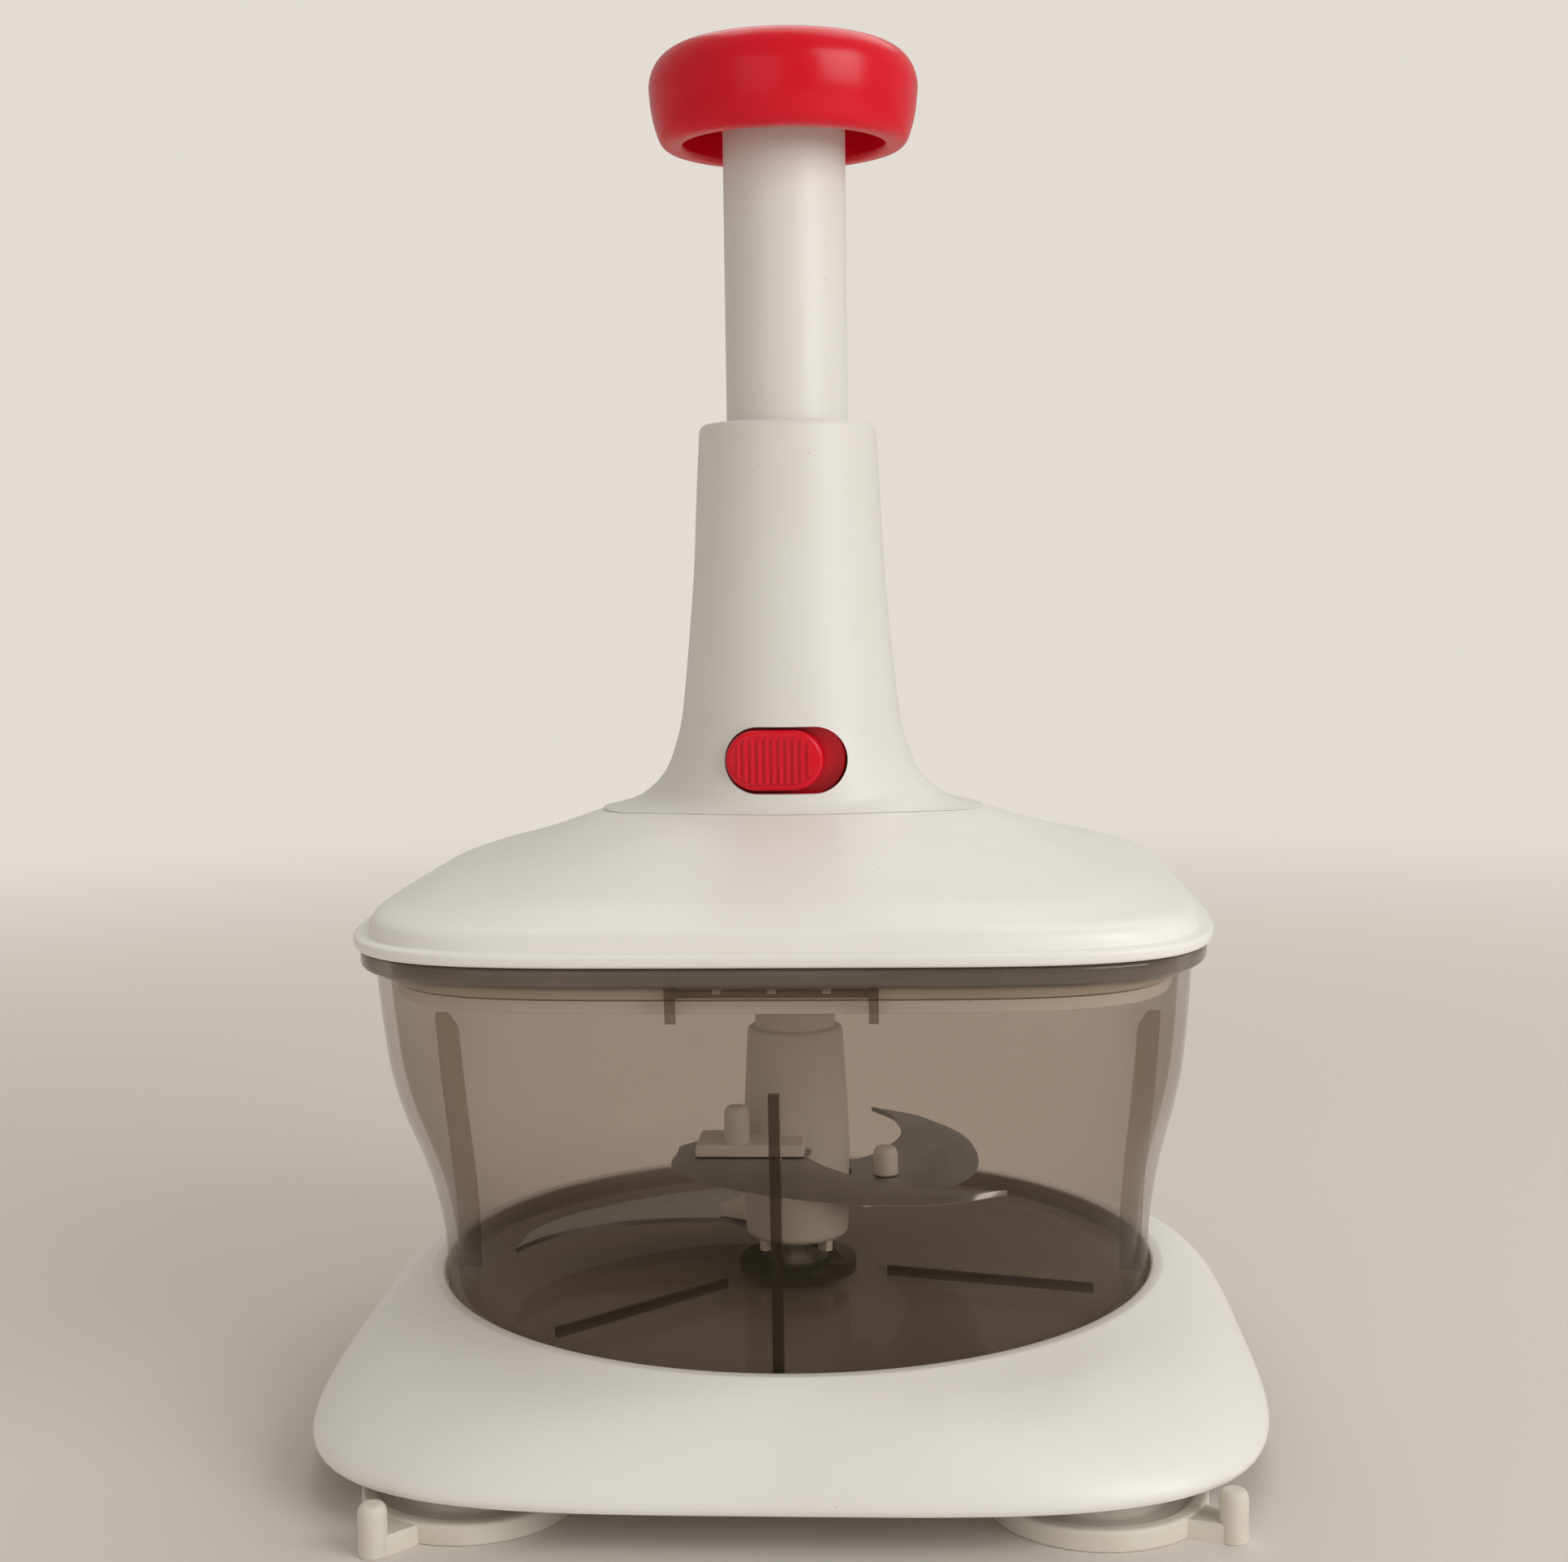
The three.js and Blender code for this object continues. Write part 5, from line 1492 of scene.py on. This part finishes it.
@dataclass
class Tower:
    """The flared guide housing on the lid, with the window for the lock."""

    top_radius: float = 17.4
    waist_radius: float = 21.8
    waist_rise: float = 17.3
    wall: float = 2.2
    foot_x: float = 38.0
    foot_y: float = 26.0
    foot_depth: float = 3.0
    gap: float = 0.3
    guide_height: float = 18.0
    seat_gap: float = 0.06
    top_fillet: float = 1.8
    bore_radius: float = 12.35
    bore_ease_height: float = 0.5
    bore_ease_width: float = 0.6
    window_width: float = 23.6
    window_height: float = 12.8
    window_rise: float = 9.8
    room_front: float = 17.5
    room_back: float = 15.35
    room_width: float = 29.3
    room_height: float = 14.9
    shaft_shares: tuple[Point, ...] = (
        (0.0, 0.0), (0.2, 0.16), (0.5, 0.36), (0.78, 0.68), (1.0, 1.0))
    foot_shares: tuple[Point, ...] = (
        (0.37, 0.1, 0.4), (0.6, 0.2, 0.6), (0.75, 0.32, 0.85), (0.88, 0.48, 1.0),
        (0.95, 0.62, 1.0), (1.0, 0.79, 1.0), (1.045, 1.0, 1.0))

    def __post_init__(self) -> None:
        """Reads the tower's height and its foot from the frame."""
        self.top = extent("tower_housing", Axis.Z)[1]
        self.seat = extent("lid_cover", Axis.Z)[1] + self.gap
        self.waist = self.seat + self.waist_rise
        self.window_z = self.seat + self.window_rise

    def levels(self, inset: float) -> list[Point]:
        """Gives the tower's rings from the top down.

        Args:
            inset: how far they are moved inwards.

        Returns:
            The rings, as a loft takes them.
        """
        rings = [level(mix(self.top_radius, self.waist_radius, out) - inset,
                       mix(self.top, self.waist, down)) for down, out in self.shaft_shares]
        for down, out, oval in self.foot_shares:
            half, deep = (mix(self.waist_radius, foot, out) - inset
                          for foot in (self.foot_x, self.foot_y))
            rings.append((half, mix(self.waist, self.seat, down), CIRCLE, mix(half, deep, oval)))
        return flow(rings)

    def window(self, width: float, height: float, near: float) -> Skin:
        """Gives a solid with the window's outline.

        Args:
            width: its whole width.
            height: its whole height.
            near: how far it reaches to the front.

        Returns:
            The solid, from behind the lock's plate to there.
        """
        plug = Skin().extrude(stadium(width, height), self.room_back, near)
        return plug.moved(lambda p: (p[0], -p[2], p[1] + self.window_z))

    def build(self, lid: Lid) -> Piece:
        """Lofts the tower, cuts its window and seats its foot on the lid.

        Args:
            lid: the lid that carries it.

        Returns:
            The tower.
        """
        guide, low = self.top - self.guide_height, self.seat - self.foot_depth
        bore, outside = self.bore_radius, self.levels(0.0)
        inside = [ring for ring in self.levels(self.wall) if ring[1] < guide]
        crown = rounded([
            (*level(bore, self.top - self.bore_ease_height), 0.0),
            (*level(bore + self.bore_ease_width, self.top), 0.2),
            (*level(self.top_radius, self.top), self.top_fillet), (*outside[2], 0.0)], 5)
        foot_x, foot_y = outside[-1][0], outside[-1][3]
        rings = [
            *crown, *outside[3:], (foot_x, low, CIRCLE, foot_y),
            (foot_x - self.wall, low, CIRCLE, foot_y - self.wall), *reversed(inside),
            level(inside[0][0], guide), level(bore, guide)]
        dome = lid.dome(-self.seat_gap)
        seat = Skin().loft([level(0.0, lid.low), (dome[0][0], lid.low, *dome[0][2:]), *dome,
                            level(0.0, dome[-1][1])])
        return Piece.build("guide_tower", "lid", Skin().loft(rings, closed=True)).shape(Join.TAKE, [
            seat, self.window(self.window_width, self.window_height, self.foot_x),
            self.window(self.room_width, self.room_height, self.room_front)])

    def dress(self, lid: Lid) -> None:
        """Puts the tower on the lid's body."""
        self.build(lid).dress(SATIN_WHITE, "tower_housing")


@dataclass
class Lock:
    """The red slider in the tower's window."""

    plate_width: float = 28.9
    plate_height: float = 14.2
    plate_thickness: float = 1.5
    plate_y: float = 15.7
    plate_easing: float = 0.3
    travel: float = 3.0
    tongue_reach: float = 3.4
    tongue_root: float = 0.5
    tongue_width: float = 2.6
    tongue_height: float = 6.0
    tongue_x: float = -10.8
    tongue_rise: float = 3.85
    pad_width: float = 18.7
    pad_height: float = 11.6
    pad_root: float = 0.1
    easing: float = 0.9
    easing_steps: int = 5
    ridges: int = 11
    ridge_proud: float = 0.55
    ridge_root: float = 0.4
    ridge_share: float = 0.56
    ridge_easing: float = 0.22
    ridge_margin: float = 1.1
    side_margin: float = 1.9
    gap: float = 0.35

    def __post_init__(self) -> None:
        """Reads the pad's front and the slider's foot from the frame."""
        self.front = -extent("lock_slider", Axis.Y)[0] - self.ridge_proud
        self.low = extent("lock_slider", Axis.Z)[0]

    def ridge(self, x: float, pitch: float) -> Skin:
        """Gives one upright ridge of the pad, shorter where the pad's ends are round.

        Args:
            x: where it stands on the pad.
            pitch: how far apart the ridges stand.

        Returns:
            The ridge's skin.
        """
        radius = self.pad_height / 2 - self.ridge_margin
        beyond = max(0.0, abs(x) - (self.pad_width - self.pad_height) / 2)
        half = math.sqrt(max(radius * radius - beyond * beyond, 0.3))
        outline = [(y, x) for x, y in stadium(2 * half, pitch * self.ridge_share, 8)]
        made = Skin().extrude(outline, self.front - self.ridge_root, self.front + self.ridge_proud,
                              self.ridge_easing)
        return made.shifted(x)

    def pad(self) -> Skin:
        """Makes the pad with its eased edge and its ridges.

        Returns:
            The pad's skin, lying on its back.
        """
        made, outline, rings = Skin(), stadium(self.pad_width, self.pad_height), []
        for step in range(self.easing_steps + 1):
            angle = math.radians(90 * step / self.easing_steps)
            inset = self.easing * (1 - math.cos(angle))
            share = 1 - inset / (self.pad_height / 2)
            height = self.front - self.easing * (1 - math.sin(angle))
            rings.append(made.add_ring([
                (x - math.copysign(min(abs(x), inset), x), y * share, height) for x, y in outline]))
        face = self.plate_y + self.plate_thickness - self.pad_root
        root = made.add_ring([(*p, face) for p in outline])
        made.bridge(root, *rings).cap(root, rings[-1])
        pitch = (self.pad_width - 2 * self.side_margin) / self.ridges
        for i in range(self.ridges):
            made.plus(self.ridge((i - (self.ridges - 1) / 2) * pitch, pitch))
        return made

    def dress(self, tower: Tower) -> None:
        """Puts the slider, with the tongue that holds the plunger down, in the tower's window.

        Args:
            tower: the tower that guides it.
        """
        back, centre = self.plate_y, tower.window_z
        skin = Skin().extrude(stadium(self.plate_width - self.travel, self.plate_height), back,
                              back + self.plate_thickness, self.plate_easing)
        skin.shifted(-self.travel / 2)
        skin.plus(self.pad().shifted(-(tower.window_width - self.pad_width) / 2 + self.gap))
        skin.moved(lambda p: (p[0], -p[2], p[1] + centre))
        half, low = self.tongue_width / 2, self.low + self.tongue_rise
        high = low + self.tongue_height
        tongue = block((self.tongue_x - half, -back - self.tongue_root, low),
                       (self.tongue_x + half, self.tongue_reach - back, high), 0.2)
        Piece.build("lock_pad", "lock", skin).merge(tongue).dress(GLOSS_RED, "lock_slider")


# Plunger and drive


@dataclass
class Plunger:
    """The push knob and its tube."""

    radius: float = 12.0
    wall: float = 3.0
    top_wall: float = 3.0
    screw_hole: float = 1.65
    flange_reach: float = 2.8
    flange_height: float = 3.0
    guide_drop: float = 18.3
    lip_wall: float = 4.2
    recess_depth: float = 12.5
    draft: float = 2.4
    shoulder: float = 7.0
    shoulder_steps: int = 14
    shoulder_power: float = 1.05
    belt_share: float = 1.2
    bulge_share: float = 0.78
    lip_rounding: float = 2.2
    crown: float = 0.8
    socket_gap: float = 0.3
    socket_wall: float = 2.6
    socket_depth: float = 6.5
    socket_root: float = 2.0
    knob_sides: int = 144
    crown_shares: tuple[float, ...] = (0.9, 0.75, 0.55, 0.35, 0.15, 0.0)

    def tube(self) -> Piece:
        """Turns the tube with its flange.

        Returns:
            The tube.
        """
        low, high = extent("plunger_tube", Axis.Z)
        rim = extent("tower_housing", Axis.Z)[1] - self.guide_drop
        flange, roof = rim - self.flange_height, high - self.top_wall
        out, bore, hole = self.radius, self.radius - self.wall, self.screw_hole
        wide = out + self.flange_reach
        skin = Skin().lathe([
            (bore, low, 0.3), (out, low, 0.4), (out, flange, 0.2), (wide, flange, 0.4),
            (wide, rim, 0.4), (out, rim, 0.3), (out, high, 0.4), (hole, high, 0.2),
            (hole, roof, 0.2), (bore, roof, 0.4)], 3, TUBE_SIDES, closed=True)
        return Piece.build("white_tube", "plunger", skin)

    def knob(self) -> Piece:
        """Turns the knob, hollow underneath round its socket.

        Returns:
            The knob.
        """
        low, high = extent("push_knob", Axis.Z)
        wide = extent("push_knob", Axis.X)[1]
        lip = wide - self.draft
        recess, flat = lip - self.lip_wall, wide - self.shoulder
        ceiling, belt = low + self.recess_depth, high - self.shoulder * self.belt_share
        mouth, root = ceiling - self.socket_depth, ceiling - self.socket_root
        inner = self.radius + self.socket_gap
        outer = inner + self.socket_wall
        under = rounded([
            (0.0, ceiling, 0.0), (inner, ceiling, 0.4), (inner, mouth, 0.4), (outer, mouth, 0.5),
            (outer, root, 0.6), (recess, root, 1.6), (recess, low, 1.4),
            (lip, low, self.lip_rounding),
            (mix(lip, wide, self.bulge_share), mix(low, belt, 0.5), 3.0), (wide, belt, 3.4)], 6)
        angles = [math.radians(90 * (step + 1) / self.shoulder_steps)
                  for step in range(self.shoulder_steps)]
        arc = [(wide - self.shoulder * (1 - math.cos(angle)) ** self.shoulder_power,
                mix(belt, high - self.crown, math.sin(angle))) for angle in angles]
        top = [(flat * share, high - self.crown * share ** 2) for share in self.crown_shares]
        return Piece.build("red_knob", "plunger", Skin().loft(under + arc + top, self.knob_sides))

    def dress(self) -> None:
        """Puts the tube and the knob on their body."""
        self.tube().dress(SATIN_WHITE, "plunger_tube")
        self.knob().dress(GLOSS_RED, "push_knob")


@dataclass
class Drive:
    """The pieces inside: spindle, nut, spring and their small parts."""

    coil_radius: float = 6.7
    wire: float = 1.3
    curls: int = 13
    closed_rise: float = 1.82
    steps: int = 36
    sides: int = 12
    finishes: dict[str, Finish] = field(default_factory=lambda: {
        "spiral_spindle": PLAIN_STEEL, "bowl_pin": PLAIN_STEEL, "knob_screw": PLAIN_STEEL,
        "tower_screw_1": PLAIN_STEEL, "tower_screw_2": PLAIN_STEEL, "tower_screw_3": PLAIN_STEEL,
        "drive_nut": NYLON, "spring_seat": NYLON, "drive_hub": NYLON})

    def spring(self) -> Piece:
        """Winds the return spring as one round wire.

        Returns:
            The spring.
        """
        wire = self.wire / 2
        low, high = extent("return_spring", Axis.Z)
        open_curls = self.curls - 2
        open_rise = (high - low - self.wire - 2 * self.closed_rise) / open_curls
        skin, rings = Skin(), []
        for curl in (i / self.steps for i in range(self.curls * self.steps + 1)):
            open_part = min(max(curl - 1, 0.0), open_curls)
            z = low + wire + (curl - open_part) * self.closed_rise + open_part * open_rise
            cos, sin = math.cos(curl * math.tau), math.sin(curl * math.tau)
            section = [(self.coil_radius + wire * math.cos(turn), z + wire * math.sin(turn))
                       for turn in (math.tau * j / self.sides for j in range(self.sides))]
            rings.append(skin.add_ring([(out * cos, out * sin, up) for out, up in section]))
        return Piece.build("wound_spring", "plunger", skin.bridge(*rings).cap(rings[0], rings[-1]))

    def dress(self) -> None:
        """Puts the spring on the plunger and gives the other inner pieces their finish."""
        self.spring().dress(PLAIN_STEEL, "return_spring")
        for node, finish in self.finishes.items():
            finish.coat(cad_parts[node])
            log.info("%s keeps its shape and takes %s", node, finish.name)


# Stage


@dataclass(frozen=True)
class Lamp:
    """One soft square lamp that faces the chopper."""

    name: str
    place: Point
    size: float
    power: float
    color: Color
    aim: Point = (0.0, 0.0, 0.12)

    def hang(self) -> None:
        """Hangs the lamp."""
        light = bpy.data.lights.new(self.name, "AREA")
        light.shape = "SQUARE"
        light.size = self.size
        light.energy = self.power
        light.color = self.color
        hung = bpy.data.objects.new(self.name, light)
        hung.location = self.place
        way = Vector(self.aim) - Vector(self.place)
        hung.rotation_euler = way.to_track_quat("-Z", "Y").to_euler()
        bpy.context.scene.collection.objects.link(hung)


@dataclass
class Studio:
    """The floor, the light and the camera."""

    camera_at: Point = (0.0230, -0.4394, 0.16249)
    yaw: float = 3.0
    pitch: float = 5.12
    roll: float = -0.73
    focal_length: float = 50.45
    sensor_width: float = 36.0
    shift_x: float = -0.00496
    nearest: float = 0.01
    floor_half: float = 3.0
    floor_color: Color = srgb(226, 220, 212)
    fade_start: float = 0.25
    fade_end: float = 1.1
    world_color: Color = (1.0, 0.95, 0.885)
    world_level: float = 0.42
    lamps: tuple[Lamp, ...] = (
        Lamp("key", (0.95, -0.7, 0.65), 0.8, 8.0, (0.985, 0.995, 1.0)),
        Lamp("fill", (-0.4, -1.25, 0.35), 0.9, 1.3, (1.0, 0.975, 0.94)),
        Lamp("top", (0.1, 0.5, 1.1), 0.9, 3.2, (1.0, 1.0, 1.0)))

    def camera(self) -> None:
        """Sets the camera at the photograph's viewing angle."""
        lens = bpy.data.cameras.new("camera")
        lens.lens = self.focal_length
        lens.sensor_width = self.sensor_width
        lens.shift_x = self.shift_x
        lens.clip_start = self.nearest
        seen = bpy.data.objects.new("camera", lens)
        turn = Matrix.Identity(3)
        for angle, axis in ((self.yaw, "Z"), (90 - self.pitch, "X"), (self.roll, "Z")):
            turn = turn @ Matrix.Rotation(math.radians(angle), 3, axis)
        seen.location = self.camera_at
        seen.rotation_euler = turn.to_euler()
        bpy.context.scene.collection.objects.link(seen)
        bpy.context.scene.camera = seen

    def floor(self) -> None:
        """Lays a plain pale floor that fades into the surroundings."""
        half = self.floor_half / MM
        plan = [(-half, -half, 0.0), (half, -half, 0.0), (half, half, 0.0), (-half, half, 0.0)]
        laid = Piece.build("floor", "base", Skin(plan, [(0, 1, 2, 3)])).object
        shader = Shader("pale_floor")
        shader.set(Base_Color=self.floor_color, Roughness=0.8, Specular_IOR_Level=0.2)
        share = shader.from_axis().ramp(self.fade_start, self.fade_end) * shader.seen_directly()
        shader.blend(share, shader.node("Emission", {"Color": self.floor_color, "Strength": 1.0}))
        laid.data.materials.append(shader.material)

    def world(self) -> None:
        """Fills the surroundings with a plain pale light."""
        world = bpy.data.worlds.new("room")
        world.use_nodes = True
        bpy.context.scene.world = world
        nodes = Nodes(world.node_tree)
        lit, seen = (nodes.node("Background", {"Color": color, "Strength": strength}).outputs[0]
                     for color, strength in ((self.world_color, self.world_level),
                                             (self.floor_color, 1.0)))
        choose = nodes.node("MixShader", {0: nodes.seen_directly(), 1: lit, 2: seen})
        nodes.node("OutputWorld", {"Surface": choose.outputs[0]})

    def set_up(self) -> None:
        """Sets camera, floor, world and lamps."""
        bpy.context.scene.view_settings.view_transform = "Standard"
        self.camera()
        self.floor()
        self.world()
        for lamp in self.lamps:
            lamp.hang()


def main() -> None:
    """Builds and dresses the chopper from the table up."""
    logging.basicConfig(level=logging.INFO, format="%(name)s: %(message)s")
    Studio().set_up()
    base = SuctionBase()
    base.dress()
    SuctionCup().dress(base)
    Bowl().dress()
    BladeSet().dress()
    lid = Lid()
    lid.dress()
    tower = Tower()
    tower.dress(lid)
    Lock().dress(tower)
    Plunger().dress()
    Drive().dress()


if __name__ == "__main__":
    main()
